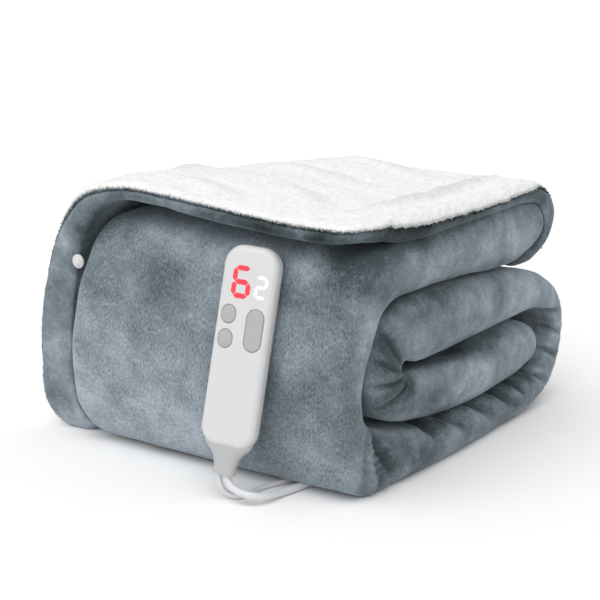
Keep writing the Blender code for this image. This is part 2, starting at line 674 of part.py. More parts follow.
# ---- the leads -----------------------------------------------------------------------------------
def make_leads(parts, frame):
    sheath = material("cord_grey")
    for name, route, diameter in (
        ("mains_cord", MAINS_ROUTE, MAINS_DIAMETER),
        ("mains_tail", TAIL_ROUTE, MAINS_DIAMETER),
        ("blanket_lead", LEAD_ROUTE, LEAD_DIAMETER),
    ):
        place(tube(name, route, diameter, LEAD_STEP), parts, sheath, frame)
    bpy.ops.mesh.primitive_torus_add(
        major_radius=COIL_MEAN_RADIUS * MM, minor_radius=COIL_THICK_RADIUS * MM,
        major_segments=32, minor_segments=8)
    coil = bpy.context.object
    coil.name = coil.data.name = "mains_coil"
    place(coil, parts, sheath, frame)
    coil.location = COIL_AT * MM
    inlet = block("lead_inlet", INLET_SIZE, INLET_AT, rounding=INLET_ROUND)
    place(inlet, parts, material("boot_grey"), frame)


def make_plug(parts, tools, frame):
    """A moulded two-blade plug lying on its side, the cord entering at +Y, the blades at -Y."""
    pivot = bpy.data.objects.new("plug", None)
    parts.objects.link(pivot)
    pivot.parent = frame
    pivot.location = PLUG_AT * MM
    pivot.rotation_euler.z = PLUG_TURN
    body = block("plug_body", PLUG_SIZE, Vector(), rounding=PLUG_ROUND, segments=3)
    place(body, parts, material("cord_grey"), pivot)
    metal = material("blade_metal")
    for name, side in (("left", -1), ("right", 1)):
        at = Vector((side * BLADE_SPACING / 2, -PLUG_SIZE.y / 2 - BLADE_SIZE.y / 2 + BLADE_SUNK, 0))
        place(block("plug_blade_" + name, BLADE_SIZE, at), parts, metal, pivot)
        slot = block("plug_slot_" + name, BLADE_SIZE + Vector((2, 2, 2)) * GAP, at)
        boolean(body, as_cutter(place(slot, tools, parent=pivot)), "DIFFERENCE")


def main():
    clear_scene()
    parts = collection("heated_blanket")
    tools = collection("cutters")
    frame = bpy.data.objects.new("bundle", None)
    parts.objects.link(frame)
    frame.location = BUNDLE_SHIFT
    make_cloth(parts, tools, frame)
    make_snap(parts, frame)
    make_controller(parts, tools, frame)
    make_leads(parts, frame)
    make_plug(parts, tools, frame)


main()
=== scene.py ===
"""Electric heated blanket, folded into a bundle: its cloth, lining, controller, leads and finishes.

Every shape is worked out in millimetres in the bundle's own frame, which lies SHIFT away from the
part's frame, and goes into its mesh in metres.  The tables repeat the folds' own sections.
"""

import math

import bmesh
import bpy
import numpy as np
from bpy.props import FloatProperty, FloatVectorProperty, PointerProperty
from mathutils import Matrix, Vector


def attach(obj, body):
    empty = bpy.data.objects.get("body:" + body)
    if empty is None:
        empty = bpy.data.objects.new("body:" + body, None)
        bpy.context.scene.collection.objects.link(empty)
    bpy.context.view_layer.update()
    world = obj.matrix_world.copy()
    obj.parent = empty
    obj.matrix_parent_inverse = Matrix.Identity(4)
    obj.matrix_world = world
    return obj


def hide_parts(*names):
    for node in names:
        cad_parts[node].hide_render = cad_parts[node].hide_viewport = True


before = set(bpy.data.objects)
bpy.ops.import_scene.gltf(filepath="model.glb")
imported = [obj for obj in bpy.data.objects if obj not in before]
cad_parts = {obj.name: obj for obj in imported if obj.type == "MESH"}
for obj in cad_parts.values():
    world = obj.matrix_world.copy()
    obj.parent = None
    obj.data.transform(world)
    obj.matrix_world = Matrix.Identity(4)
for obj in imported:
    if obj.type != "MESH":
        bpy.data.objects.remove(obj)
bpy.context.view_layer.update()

bl_info = {
    "name": "Electric heated blanket",
    "version": (1, 0, 0),
    "blender": (4, 5, 0),
    "location": "View3D > Sidebar > Blanket",
    "description": "Builds the looks of a folded electric heated blanket",
    "category": "Object",
}

MM = 0.001
FLOOR_HALF, FLOOR_DROP = 9e3, 0.2  # the floor lies clear of what rests on it
SHIFT = np.array((15.3, 20.8, 0.0))

# ---- the folded band: its sections from its far top end to its inner end
BAND_COLUMNS = ("outer_y", "outer_z", "inner_y", "inner_z", "right_x", "left_x", "left_round")
BAND_ROWS = (
    (104.5, 150, 104.5, 141, 124, -98, 20), (100.5, 156.5, 100.5, 134.5, 129, -104, 34),
    (91, 163, 91, 128, 131, -106, 42), (72, 167.5, 72, 121.8, 132, -107, 46),
    (44, 169, 44, 121.2, 132, -108, 48), (8, 169.2, 8, 124, 132, -108, 48),
    (-40, 169.2, -40, 128, 132, -108, 48), (-80, 169, -74, 129, 132, -107, 44),
    (-108, 167, -96, 128.5, 131, -103, 22), (-126, 160.5, -106, 125.5, 130, -103.5, 12),
    (-136, 149, -112.5, 119.5, 128, -108, 12), (-141.5, 134, -118, 111, 127, -111, 12),
    (-147, 114, -121.5, 101, 125, -115, 12), (-152, 92, -123.5, 87, 122, -117, 12),
    (-152.5, 70, -124, 71, 120, -120, 12), (-151.5, 47, -123.5, 54, 121, -121, 12),
    (-149.5, 25, -116, 45, 123, -119, 12), (-143.5, 8.5, -106, 41, 126, -110, 13),
    (-129.5, 0.6, -94, 38.5, 128, -101, 14), (-108, 0, -82, 36, 129, -104, 14),
    (-78, 0, -66, 33.5, 130, -107, 14), (-40, 0, -38, 30.5, 131, -108, 14),
    (0, 0, 0, 28, 131, -108, 14), (40, 0, 38, 27.5, 131, -108, 14),
    (76, 0.6, 70, 28, 132, -108, 14), (102, 5, 92, 29.5, 132, -110, 14),
    (121, 13.5, 107, 33, 132, -113, 12), (135, 27, 116.5, 39, 131, -117, 12),
    (142, 42, 121.5, 47.5, 131, -121, 12), (144.5, 58, 123, 56.5, 131, -124, 12),
    (141, 74, 120.5, 66.5, 131, -124, 12), (130, 89, 112, 75, 132, -124, 13),
    (111, 102, 95, 79.5, 132, -124, 14), (84, 112, 76, 80.2, 133, -124, 16),
    (56, 117.6, 50, 79.6, 133, -123, 18), (25, 120.6, 24, 79, 133, -121, 19),
    (-10, 123.4, -10, 78.5, 133, -119, 19), (-45, 125.8, -45, 78.5, 133, -119, 19),
    (-75, 126.4, -70, 79.5, 132, -119, 19), (-95, 124, -76.5, 81.5, 130, -119, 18),
    (-109, 116, -79.5, 81, 128, -119, 15), (-117.5, 103, -81.2, 79, 126, -119, 13),
    (-120.5, 86, -81.8, 77, 125, -121, 12), (-120.5, 70, -81.2, 75, 125, -121, 12),
    (-115, 56.5, -79.5, 73.4, 126, -121, 13), (-103.5, 46.5, -75.5, 72.6, 127, -119, 14),
    (-86, 41, -65, 73, 129, -117, 16), (-62, 36.6, -46, 74.5, 130, -117, 18),
    (-30, 33, -20, 75.9, 131, -117, 19), (5, 30.6, 10, 76.6, 131, -117, 19),
    (38, 30.2, 38, 77, 131, -117, 19), (66, 30.8, 64, 76.2, 130, -115, 19),
    (88, 32.8, 86, 72, 129, -111, 17), (103, 37, 102, 64.5, 127, -105, 13),
    (113, 43.5, 112.5, 56, 121, -98, 10),
)
# A round edge's depth, as a share of the band's half thickness, and the most that it may be.
EDGE_DEPTH, DEEPEST_EDGE = 0.62, 13.0
FACE_WIDTH = 230.0  # about what lies between the round edges
LEFT_WAIST = 0.72  # a wide left edge reaches furthest at this share below the middle
# The upper folds settle towards the far left: from and to where, along Y, Z and X, and how far.
SETTLE_FROM, SETTLE_FULL = -95.0, 60.0
SETTLE_ABOVE, SETTLE_TOP = 112.0, 170.0
SETTLE_RIGHT, SETTLE_STEEP, SETTLE_LEFT = 131.0, -20.0, -100.0
SETTLE_EVEN, SETTLE_MORE = 4.2, 11.0
# Creases in the band: places across it (left of its face's right end, or less than 0 round its
# right edge) and along it, then width, depth and the ridge beside it.
BAND_CREASES = (
    (((-46, 374), (-42, 390), (-38, 403), (-29, 419), (-12, 440)), 3.6, 7, 1.6),
    (((-37, 384), (-31, 400), (-24, 412), (-10, 424)), 2.8, 5, 1.2),
    (((-30, 372), (-22, 392), (-8, 410)), 2.8, 2.6, 0.8),
    (((-52, 462), (-40, 472), (-28, 488)), 4.2, 4.4, 1),
    (((-50, 496), (-34, 512), (-22, 532)), 4.6, 4.6, 1.2),
    (((-46, 540), (-32, 552), (-20, 570)), 4.2, 4.2, 1),
    (((-44, 580), (-30, 590), (-20, 604)), 4.2, 4, 1),
    (((-42, 612), (-30, 618), (-20, 628)), 3.6, 3, 0.8),
    (((-42, 646), (-30, 652), (-20, 657), (-9, 662)), 3, 4.2, 1),
    (((-38, 694), (-24, 692), (-10, 689)), 3, 3.6, 1),
    (((-40, 724), (-22, 718), (-9, 711)), 3, 4.6, 1.2),
    (((-42, 768), (-25, 744), (-10, 735)), 3.2, 4, 1),
    (((-4, 1008), (-18, 1012), (-34, 1022)), 2.6, 2.4, 0.6),
    (((-3, 1026), (-18, 1030), (-36, 1038)), 2.6, 2.6, 0.6),
    (((-3, 1046), (-18, 1048), (-36, 1052)), 2.6, 2.6, 0.6),
    (((-4, 1066), (-18, 1066), (-34, 1068)), 2.6, 2.4, 0.6),
    (((-72, 1100), (-62, 1120), (-54, 1160), (-46, 1210)), 8, 5, 0),
)
# Painted light and shade, with the nap's own laid and raised patches: paler (more than 0) where
# light falls and the nap is laid, deeper in holes, gaps, under the hem and on sides turned from the
# light, where shade falls: from one place in the bundle to another, with the reach round the line
# between them, and the amount.
PAINTED_LIGHT_AND_NAP_PATCHES = (
    ((-84, -150, 30), (-66, -150, 44), 50, 0.1), ((-24, -150, 20), (20, -150, 24), 26, 0.05),
    ((-60, -147, 120), (-20, -147, 128), 30, -0.015),
    ((-60, -142, 158), (90, -142, 152), 13, 0.1), ((70, -150, 90), (84, -150, 130), 34, -0.035),
    ((128, -118, 173), (128, 96, 171), 12, -0.2), ((-80, -151, 182), (60, -151, 176), 9, -0.19),
    ((40, -151, 174), (104, -151, 173), 9, -0.14), ((94, -147, 174), (126, -74, 172), 12, -0.24),
    ((102, -130, 160), (124, -80, 162), 12, -0.05), ((126, -60, 12), (128, 60, 14), 18, -0.05),
    ((-94, -137, 170), (-120, -137, 126), 11, -0.12),
    ((-150, -140, 100), (-154, -140, 30), 16, -0.02),
    ((122, -130, 160), (124, -118, 146), 24, -0.07),
    ((118, -142, 120), (118, -146, 40), 9, -0.06), ((-78, -142, 142), (0, -146, 130), 34, -0.03),
    ((128, -96, 128), (128, 96, 122), 7, -0.12), ((124, -112, 104), (126, -84, 66), 7, -0.12),
    ((108, -66, 76), (124, -10, 77), 9, -0.34), ((124, -10, 77), (130, 80, 74), 6, -0.14),
    ((104, -104, 40), (124, -40, 31), 8, -0.3), ((124, -40, 31), (126, 90, 28), 6, -0.16),
    ((116, 96, 80), (124, 120, 62), 9, -0.14), ((128, -60, 108), (130, -20, 112), 24, -0.02),
    ((118, -104, 96), (124, -92, 70), 16, -0.09), ((124, -96, 22), (126, -60, 16), 12, -0.07),
    ((130, 60, 104), (131, 100, 92), 20, 0.03), ((120, -60, 57), (126, 30, 54), 14, 0.02),
)

# ---- the single layer over the top: sections across it from its right edge, and along it
OVER_COLUMNS = ("inner_x", "inner_z", "outer_x", "outer_z", "front_y", "side", "reach")
OVER_ROWS = (
    (126.5, 165.5, 132.2, 172, -134, 0, 1), (120, 170.4, 125, 177.2, -140, 0, 1),
    (102, 171, 103, 178, -146, 0, 1), (70, 171.3, 70, 178, -147, 0, 1),
    (30, 173, 30, 180, -145, 0, 1), (-8, 175.8, -8, 182.5, -144, 0, 1),
    (-41, 178.8, -41, 184.6, -143, 0, 0.97), (-68, 179.4, -70, 185.2, -142, 0.04, 0.9),
    (-87, 175.2, -92, 182, -142, 0.2, 0.84), (-98.5, 165.5, -107, 177, -142, 0.42, 0.8),
    (-107, 152.5, -121, 167, -141, 0.64, 0.78), (-114.5, 139, -133, 152, -140, 0.82, 0.78),
    (-119.5, 123, -142.5, 135.5, -139, 0.94, 0.78), (-124, 105, -150, 116.5, -138, 1, 0.78),
    (-127, 86, -155.5, 95.5, -138, 1, 0.78), (-128.5, 66, -159, 72, -138, 1, 0.78),
    (-128.5, 49, -159.5, 51, -138, 1, 0.78), (-127.5, 34, -160, 32, -138, 1, 0.78),
    (-125, 21, -156, 15.5, -138, 1, 0.78), (-120.5, 11.8, -146, 4.4, -136, 1, 0.78),
    (-115.5, 6.8, -130.5, 0, -133, 1, 0.78), (-110, 4.8, -114, 0, -130, 1, 0.78),
)
ALONG_COLUMNS = ("outer_y", "outer_drop", "inner_y", "inner_drop", "levelled")
ALONG_ROWS = (
    (-142, 0, -142, 0, 0), (-108, -1.5, -108, 0, 0), (-68, -1, -68, 0, 0), (-26, 0.5, -26, 0, 0),
    (18, 1.5, 18, 0.3, 0), (56, 1.2, 52, 1, 0.1), (84, 3.4, 76, 3, 0.3),
    (103, 8.4, 94.5, 7.8, 0.5), (114.5, 17, 102.5, 15, 0.7), (120.5, 26.5, 107.3, 22.5, 0.85),
    (120, 34.5, 108.9, 29.5, 1), (116, 41.5, 108, 35, 1), (110, 47.5, 104.5, 39.6, 1),
    (102, 52, 98.5, 43.2, 1), (93.5, 55.5, 91.5, 46, 1), (86, 57.5, 85, 48, 1),
    (79, 59.2, 78.5, 51.2, 1), (70, 60.4, 70, 54.6, 1),
)
LEFT_LENGTH = 321.6  # the length that the layer's reach is a share of
TOP_Z = {"inner": 171.5, "outer": 180.0}  # each face's height where the far bend starts
SIDE_DROP = 0.3  # the share of the drop along the layer that its hanging side still has
HEM = 9.0
NEAR_RIM = HEM + 12.0  # within this of an edge the layer isn't stretched
CORNER_ROUND = 12.0
NEAR_CORNER_ACROSS, NEAR_CORNER_ALONG = 26.0, 84.0  # the front right corner's long curve
PILE_FROM, PILE_RISE, PILE_TALL = 4.2, 8.0, 5.4  # from the edge, over this far, to this height
SIDE_PILE, FAR_PILE, SHOULDER_PILE = 0.22, 0.5, 0.45  # shares of that height
PILE_LOW = 2.6  # how far outside its edge its lowest points lie, under the hem's face
UNDER_PILE = (PILE_FROM + 2.4, 3.0)  # where the hem's face steps down under it, how long
PILE_CORNER = 14.0
# How far the pile's edge comes out along the right edge, and draws in at the far bend and beyond
# it, each with where it starts and over what length.
RIGHT_OUT, RIGHT_OUT_AT = 1.4, (40.0, -20.0)
BEND_IN, BEND_IN_AT = 5.5, (214.0, 34.0)
FAR_IN, FAR_IN_AT = 19.5, (276.0, 26.0)
OUT_OF_SIGHT = 262.0  # from where along the layer the pile lies under the far bend
HEM_ROUND, HUG_ROUND = 3.6, 6.0  # how far in the hem's edge is round, and on the right edge
HUG_ACROSS, HUG_ALONG = (44.0, -34.0), (2.0, 44.0)  # where it comes to lie on the fold below
# Soft dents in the pile, as places across the layer and along it, with width, depth and ridge.
PILE_CREASES = (
    (((40, 30), (33, 60), (29, 110), (31, 160), (34, 215)), 4.4, 5.4, 1.2),
    (((60, 30), (90, 60), (130, 80)), 8, 2.4, 0.6),
    (((120, 20), (150, 34), (190, 40)), 7, 2.6, 0.8),
    (((80, 120), (130, 140), (190, 150)), 9, 2.2, 0.6),
    (((200, 60), (214, 100), (222, 150)), 8, 2.6, 0.8),
    (((60, 180), (120, 205), (180, 215)), 8, 2.2, 0.6),
)

# ---- the leads: knots of their centrelines
MAINS_DIAMETER, LEAD_DIAMETER = 5.2, 3.6
MAINS_ROUTE = (
    (46.9, -180.5, 17.1), (46.9, -180.8, 15.9), (48.8, -181.9, 12.9), (53, -182.6, 10.1),
    (59.1, -182.2, 8.1), (66.6, -180.2, 6.9), (71.2, -171.6, 5.2), (72.6, -160, 3.6),
    (74.6, -148.3, 2.7), (76.6, -136.9, 2.7), (78.6, -115, 2.7), (78, -80, 2.7), (77.6, -40, 2.7),
    (78, 0, 2.7), (78, 40, 2.7), (77.6, 80, 2.7), (77, 112, 2.7), (74.5, 137, 2.7),
)
LEAD_ROUTE = (
    (41.1, -181.5, 17.4), (41.1, -181.8, 16.2), (41.8, -182.3, 12.1), (43.3, -181.8, 7.7),
    (45.9, -179.4, 3.7), (50.8, -177, 1.9), (55, -170.4, 1.9), (54.9, -158.3, 1.9),
    (56.7, -149.6, 1.9), (59.6, -142, 1.9), (62.8, -132.8, 1.9), (64.6, -115, 1.9),
    (65, -80, 1.9), (65.4, -40, 1.9), (65, 0, 1.9), (65, 40, 1.9), (65.2, 80, 1.9),
    (63.5, 98, 1.9), (56, 110.5, 1.9), (43, 116, 2.2), (28, 117.2, 4.2), (14, 117, 6.6),
    (3.4, 117, 7.4),
)
TAIL_ROUTE = (
    (32, 213.4, 7.4), (16, 213.8, 6.4), (-1, 213.4, 6.8), (-13, 211.2, 8.4), (-24.3, 206.5, 9.2),
)
COIL_AT = np.array((39.6, 178.5, 8.0))
COIL_MEAN_RADIUS = 28.5
COIL_ENTRY, COIL_EXIT, COIL_TIE = -5.0, 78.0, 205.0  # degrees round the coil
# Places of the seven turns across the coil, in cord diameters: outwards and up.
COIL_PLACES = ((0.5, -0.866), (-0.5, -0.866), (-1, 0), (-0.5, 0.866), (0.5, 0.866), (0, 0), (1, 0))
COIL_STAGGER = 40.0  # degrees between the places where two turns change over
COIL_CHANGE = 34.0  # degrees that a change takes
COIL_EARLY = 30.0  # degrees that the last change starts before a whole turn
TIE = np.array(((8.0, -2.6), (8.9, -2.2), (8.9, 2.2), (8.0, 2.6)))  # radius, along the coil
TIE_FLAT = 0.88  # its height as a share of its width
RELIEF_LONG, RELIEF_THIN, RELIEF_GROWS = 20.0, 2.9, 1.9  # its length, least radius and taper
RELIEF_RIBS, RELIEF_RIB = 6, 0.28  # how many, and how high

# ---- the controller: in its own frame x runs to its right, y into the panel and z up
CONTROLLER_AT = (46.1, -161.4, 99.2)
CONTROLLER_TURN, CONTROLLER_LEAN, CONTROLLER_ROLL = 10.0, 13.0, 3.3  # right, back, top to the right
BODY_LENGTH, BODY_WIDTH, BODY_DEPTH = 132.0, 39.2, 15.0
TOP_CORNER, BOTTOM_CORNER = 13.5, 12.6
SEAM_Y, SEAM_GAP, SEAM_BEVEL = 2.0, 0.3, 0.35
FACE_ROUND, BACK_ROUND = 4.6, 7.0
CROWN_ACROSS, CROWN_ALONG = 0.45, 0.3  # how far the face falls away at its sides and ends
BUTTONS = {  # node: (body, x, z, width, length)
    "button_power": ("power_button", -10.1, 20.5, 10.4, 12.0),
    "button_timer": ("timer_button", -10.1, 4.4, 10.4, 12.0),
    "button_rocker": ("rocker_button", 9.4, 12.4, 12.2, 27.4),
}
BUTTON_GAP, BUTTON_PROUD, BUTTON_TALL, WELL_DEPTH = 0.3, 0.9, 4.2, 4.6
BUTTON_ROUND, BUTTON_DOME = 0.9, 0.35
# Bars of a seven-segment digit: from and to, as shares of its width and height.
SEGMENTS = {
    "top": ((0, 1), (1, 1)), "upper_left": ((0, 1), (0, 0.5)), "upper_right": ((1, 1), (1, 0.5)),
    "middle": ((0, 0.5), (1, 0.5)), "lower_left": ((0, 0.5), (0, 0)),
    "lower_right": ((1, 0.5), (1, 0)), "bottom": ((0, 0), (1, 0)),
}
DIGITS = {  # name: (bars, left, low, width, height, stroke)
    "digit_level": (("top", "upper_left", "middle", "lower_left", "lower_right", "bottom"),
                    -10.8, 31.4, 13.6, 21.4, 3.4),
    "digit_hours": (("top", "upper_right", "middle", "lower_left", "bottom"),
                    5.8, 33.0, 8.8, 14.8, 2.0),
}
BAR_GAP, BAR_DEPTHS = 0.25, (0.12, -0.05)  # at a bar's ends; its back and front from the face
# Down the boot: distance below the shells, half width, half depth.
BOOT_ROWS = (
    (-8, 17.4, 5.6), (-4.6, 17, 6.3), (-1.8, 16.2, 6.5), (0.6, 14.4, 6.4), (4, 11, 5.9),
    (7, 9.2, 5.5), (11.4, 8, 5.1), (17.8, 7.3, 4.8),
)
BOOT_GAP = 0.3  # between the shells and where the distances start
SNAP_AT = np.array((-116.2, -138.0, 129.5))
# The stud's profile: radius, and how far it stands out.
SNAP_ROWS = (
    (0, 0), (4.9, 0), (5.2, 0.3), (5.2, 1), (5, 1.5), (4.4, 1.9), (3.9, 1.95), (3.6, 2.2),
    (3, 2.9), (2, 3.25), (1, 3.38), (0, 3.4),
)


def linear(code):
    """An sRGB hex code as linear red, green, blue and alpha."""
    part = np.array([int(code[i:i + 2], 16) for i in (1, 3, 5)]) / 255
    part = np.where(part <= 0.04045, part / 12.92, ((part + 0.055) / 1.055) ** 2.4)
    return (*part, 1.0)


def colour(name, code, description):
    return FloatVectorProperty(name=name, description=description, subtype="COLOR", size=4,
                               min=0, max=1, default=linear(code))


def number(name, value, description, **more):
    return FloatProperty(name=name, description=description, default=value, **more)


def size(name, mm, description):
    return number(name, mm * MM, description, min=0, unit="LENGTH", precision=4)


# ---- what a user would change
class ClothSettings(bpy.types.PropertyGroup):
    flannel: colour("Flannel", "#747f86", "The nap seen square on")
    # pale stop: the nap's laid patches and painted light
    flannel_pale: colour("Flannel, laid", "#a9b1ba", "Where the nap is laid flat and catches light")
    # deep stop: the nap's raised patches and painted shade
    flannel_deep: colour("Flannel, raised", "#434f53", "Where the nap stands and holds shade")
    # painted shade held in folds, gaps and holes
    flannel_fold_shade: colour("Flannel, in folds", "#171d20", "Where folds press on the nap")
    plush: colour("Lining", "#eeeeed", "Tips of the plush")
    # painted shade between the curls and in the pile's dents
    plush_crevice_shade: colour("Lining, deep", "#d3d4d4", "Between the plush curls")
    wale: size("Wale", 1.4, "Distance between two wales of the knit")
    lock: size("Lock", 1.3, "Width of one lock of the nap")
    step: size("Grid step", 2.2, "Distance between two lines of the band's grid")
    lining_step: size("Lining step", 1.6, "Distance between two lines of the lining's grid")
    curl: size("Curl", 4.2, "Width of one curl of the plush")
    curl_height: size("Curl height", 0.9, "How far a curl stands above its neighbours")


class HardSettings(bpy.types.PropertyGroup):
    shell: colour("Shell", "#cfcfd0", "Controller shell, moulded ABS")
    button: colour("Buttons", "#a9a9aa", "Silicone-coated buttons")
    boot: colour("Boot", "#b1b2b3", "Soft moulded boot")
    cord: colour("Leads", "#d6d7d9", "Vinyl sheath of the leads")
    lit: colour("Lit digit", "#d83a45", "Digit lit behind the shell")
    pale: colour("Pale digit", "#ffffff", "Digit that shows white")


class StageSettings(bpy.types.PropertyGroup):
    azimuth: number("Azimuth", math.radians(34.8), "Camera's turn round it", subtype="ANGLE")
    elevation: number("Elevation", math.radians(15.0), "Camera's height above the horizon",
                      subtype="ANGLE")
    distance: number("Distance", 1.205, "From the camera to its target", unit="LENGTH")
    lens: number("Lens", 96.0, "Focal length, in millimetres")
    key: number("Key light", 1.6, "Strength of the soft light from above", min=0)
    key_from: FloatVectorProperty(name="Key light from", description="Way towards the key light",
                                  default=(0.04, -0.55, 0.83), subtype="DIRECTION")
    softness: number("Softness", math.radians(75.0), "Width of the key light", subtype="ANGLE")
    sky: number("Room light", 0.72, "Strength of the even light from all sides", min=0)


# ---- curves, grids and noise
def lengths(points):
    """Distance along each line of points, from its first."""
    steps = np.linalg.norm(np.diff(points, axis=-2), axis=-1)
    return np.concatenate([np.zeros((*steps.shape[:-1], 1)), np.cumsum(steps, axis=-1)], axis=-1)


def joined(*parts):
    """Points from their coordinates, each an array or a single value."""
    return np.stack(np.broadcast_arrays(*parts), -1)


def unit(vectors):
    """Vectors in the same directions, 1 long."""
    return vectors / np.maximum(np.linalg.norm(vectors, axis=-1, keepdims=True), 1e-9)


def eased(x):
    """0 below 0, 1 above 1, and a smooth rise between: 3x^2 - 2x^3."""
    x = np.clip(x, 0, 1)
    return x * x * (3 - 2 * x)


def smooth(rows, along, at):
    """Rows between the given ones: cubics whose end slopes are those between a row's neighbours."""
    rows, at = np.asarray(rows, float), np.asarray(at, float)
    slopes = np.gradient(rows, along, axis=0)
    k = np.clip(np.searchsorted(along, at, side="right") - 1, 0, len(along) - 2)
    width = (along[k + 1] - along[k])[..., None]
    t = (at - along[k])[..., None] / width
    return ((2 * t**3 - 3 * t**2 + 1) * rows[k] + (t**3 - 2 * t**2 + t) * slopes[k] * width
            + (3 * t**2 - 2 * t**3) * rows[k + 1] + (t**3 - t**2) * slopes[k + 1] * width)


def scattered(*cell, seed=0):
    """A fixed number from 0 to 1 for each whole-number cell, by mixing the cell's bits."""
    mixed = np.uint64(seed * 7919 + 17)
    for axis, prime in zip(cell, (73856093, 19349663, 83492791)):
        mixed = mixed ^ ((axis.astype(np.int64) * prime).astype(np.uint64))
        mixed = (mixed ^ (mixed >> np.uint64(15))) * np.uint64(2246822519)
    mixed = (mixed ^ (mixed >> np.uint64(13))) * np.uint64(3266489917)
    return ((mixed >> np.uint64(20)) & np.uint64(0xFFFF)).astype(float) / 0xFFFF


def mottle(points, grain, seed=0):
    """Soft noise from -1 to 1: a lattice of fixed numbers, a grain apart, blended smoothly."""
    places = np.asarray(points) / grain
    cell = np.floor(places).astype(np.int64)
    share = eased(places - cell)
    total = 0.0
    for corner in np.ndindex(*(2,) * places.shape[-1]):
        weight = np.prod(np.where(corner, share, 1 - share), axis=-1)
        total = total + weight * scattered(*np.moveaxis(cell + corner, -1, 0), seed=seed)
    return 2 * total - 1


def pebbles(points, width, seed=0):
    """Rounded lumps from 0 to 1: 1 at a scattered centre, one in each square cell, falling away."""
    places = np.asarray(points) / width
    cell = np.floor(places).astype(np.int64)
    nearest = np.full(places.shape[:-1], 9.0)
    for step in np.ndindex(3, 3):
        other = cell + step - 1
        axes = np.moveaxis(other, -1, 0)
        centre = other + joined(scattered(*axes, seed=seed), scattered(*axes, seed=seed + 5))
        nearest = np.minimum(nearest, np.linalg.norm(places - centre, axis=-1))
    return np.clip(1 - nearest, 0, 1)


def normals_of(grid, closed=False):
    """Outward unit normals of a grid of points, which may close round its second direction."""
    if closed:
        along = np.roll(grid, -1, 1) - np.roll(grid, 1, 1)
    else:
        along = np.gradient(grid, axis=1)
    return unit(np.cross(np.gradient(grid, axis=0), along))


def from_line(points, start, end):
    """How far points lie from the line between two places, and how far along it, from 0 to 1."""
    way = end - start
    t = np.clip((points - start) @ way / (way @ way), 0, 1)
    return np.linalg.norm(points - start - t[..., None] * way, axis=-1), t


def creased(across, along, table):
    """How far soft troughs move a surface in: each a line of places (across, along) in the cloth,
    with a width and a depth, deepest in its middle, and a low ridge beside it."""
    moved = np.zeros(across.shape)
    for line, width, depth, ridge in table:
        line = np.array(line, float)
        start_at = lengths(line)
        reach = np.ptp(line, axis=0) / 2 + 5 * width
        near = (np.abs(joined(across, along) - line.mean(0)) < reach).all(-1)
        places = joined(across[near], along[near])
        nearest, place = np.full(len(places), 1e9), np.zeros(len(places))
        for start, end, from_start in zip(line, line[1:], start_at):
            far, t = from_line(places, start, end)
            place = np.where(far < nearest, from_start + t * np.linalg.norm(end - start), place)
            nearest = np.minimum(far, nearest)
        taper = np.sin(np.pi * np.clip(place / start_at[-1], 0.06, 0.94)) ** 0.6
        fall = nearest / width
        moved[near] += taper * (ridge * np.exp(-((fall - 1.9) ** 2)) - depth * np.exp(-(fall**2)))
    return moved


def settled(points):
    """The points, the upper folds lowered towards the far left, and none below the floor."""
    x, y, z = np.moveaxis(points, -1, 0)
    back = np.clip((y - SETTLE_FROM) / (SETTLE_FULL - SETTLE_FROM), 0, 1.3)
    even = np.clip((SETTLE_RIGHT - x) / (SETTLE_RIGHT - SETTLE_LEFT), 0, 1)
    steep = eased((SETTLE_STEEP - x) / (SETTLE_STEEP - SETTLE_LEFT))
    high = np.clip((z - SETTLE_ABOVE) / (SETTLE_TOP - SETTLE_ABOVE), 0, 1)
    drop = back * high * (SETTLE_EVEN * even + SETTLE_MORE * steep)
    return joined(x, y, np.maximum(z - drop, 0))


def rubbed_of(points):
    """How far the nap is rubbed down to the knit: over the front, and less on the folds' ends."""
    return eased((-100 - points[..., 1]) / 30) * eased((124 - points[..., 0]) / 8)


def painted_light_and_nap_of(points):
    """How pale each point is painted, deep below 0: painted light and shade with the nap's own
    patches, the sum of the soft patches there.
    """
    nap = np.zeros(points.shape[:-1])
    for start, end, reach, amount in PAINTED_LIGHT_AND_NAP_PATCHES:
        far = from_line(points, np.array(start, float), np.array(end, float))[0]
        nap += amount * np.exp(-((far / reach) ** 2))
    return nap


# ---- meshes
def linked(name, data):
    made = bpy.data.objects.new(name, data)
    bpy.context.scene.collection.objects.link(made)
    return made


def mesh_of(name, points, faces, corner_uv=None, **per_point):
    """A piece from points in millimetres in the bundle's frame, none below the floor, shaded
    smooth."""
    mesh = bpy.data.meshes.new(name)
    mesh.from_pydata(((np.maximum(points, (-np.inf, -np.inf, 0)) + SHIFT) * MM).tolist(), [], faces)
    mesh.shade_smooth()
    if corner_uv is not None:
        mesh.uv_layers.new(name="UVMap").data.foreach_set("uv", corner_uv.ravel())
    for attribute, values in per_point.items():
        mesh.attributes.new(attribute, "FLOAT", "POINT").data.foreach_set("value", values.ravel())
    return linked(name, mesh)


def grid_faces(rows, columns, wrap=(False, False)):
    """Quads of a grid, and each corner's row and column, which run on past a closed seam."""
    i, j = np.indices((rows - (not wrap[0]), columns - (not wrap[1]))).reshape(2, -1)
    corner_i, corner_j = joined(i, i + 1, i + 1, i), joined(j, j, j + 1, j + 1)
    return (corner_i % rows) * columns + corner_j % columns, corner_i, corner_j


def grid_piece(name, grid, wrap=(False, False), capped=False, uv=None, **per_point):
    """A piece from a grid of points: quads, a face over each open end if capped, and its UV."""
    rows, columns = grid.shape[:2]
    faces, corner_i, corner_j = grid_faces(rows, columns, wrap)
    faces = faces.tolist()
    corner_uv = None if uv is None else uv[corner_i, corner_j].reshape(-1, 2)
    if capped:
        last = (rows - 1) * columns
        faces += [list(range(columns)), list(range(last + columns - 1, last - 1, -1))]
        if uv is not None:
            corner_uv = np.concatenate([corner_uv, np.zeros((2 * columns, 2))])
    return mesh_of(name, grid.reshape(-1, 3), faces, corner_uv, **per_point)


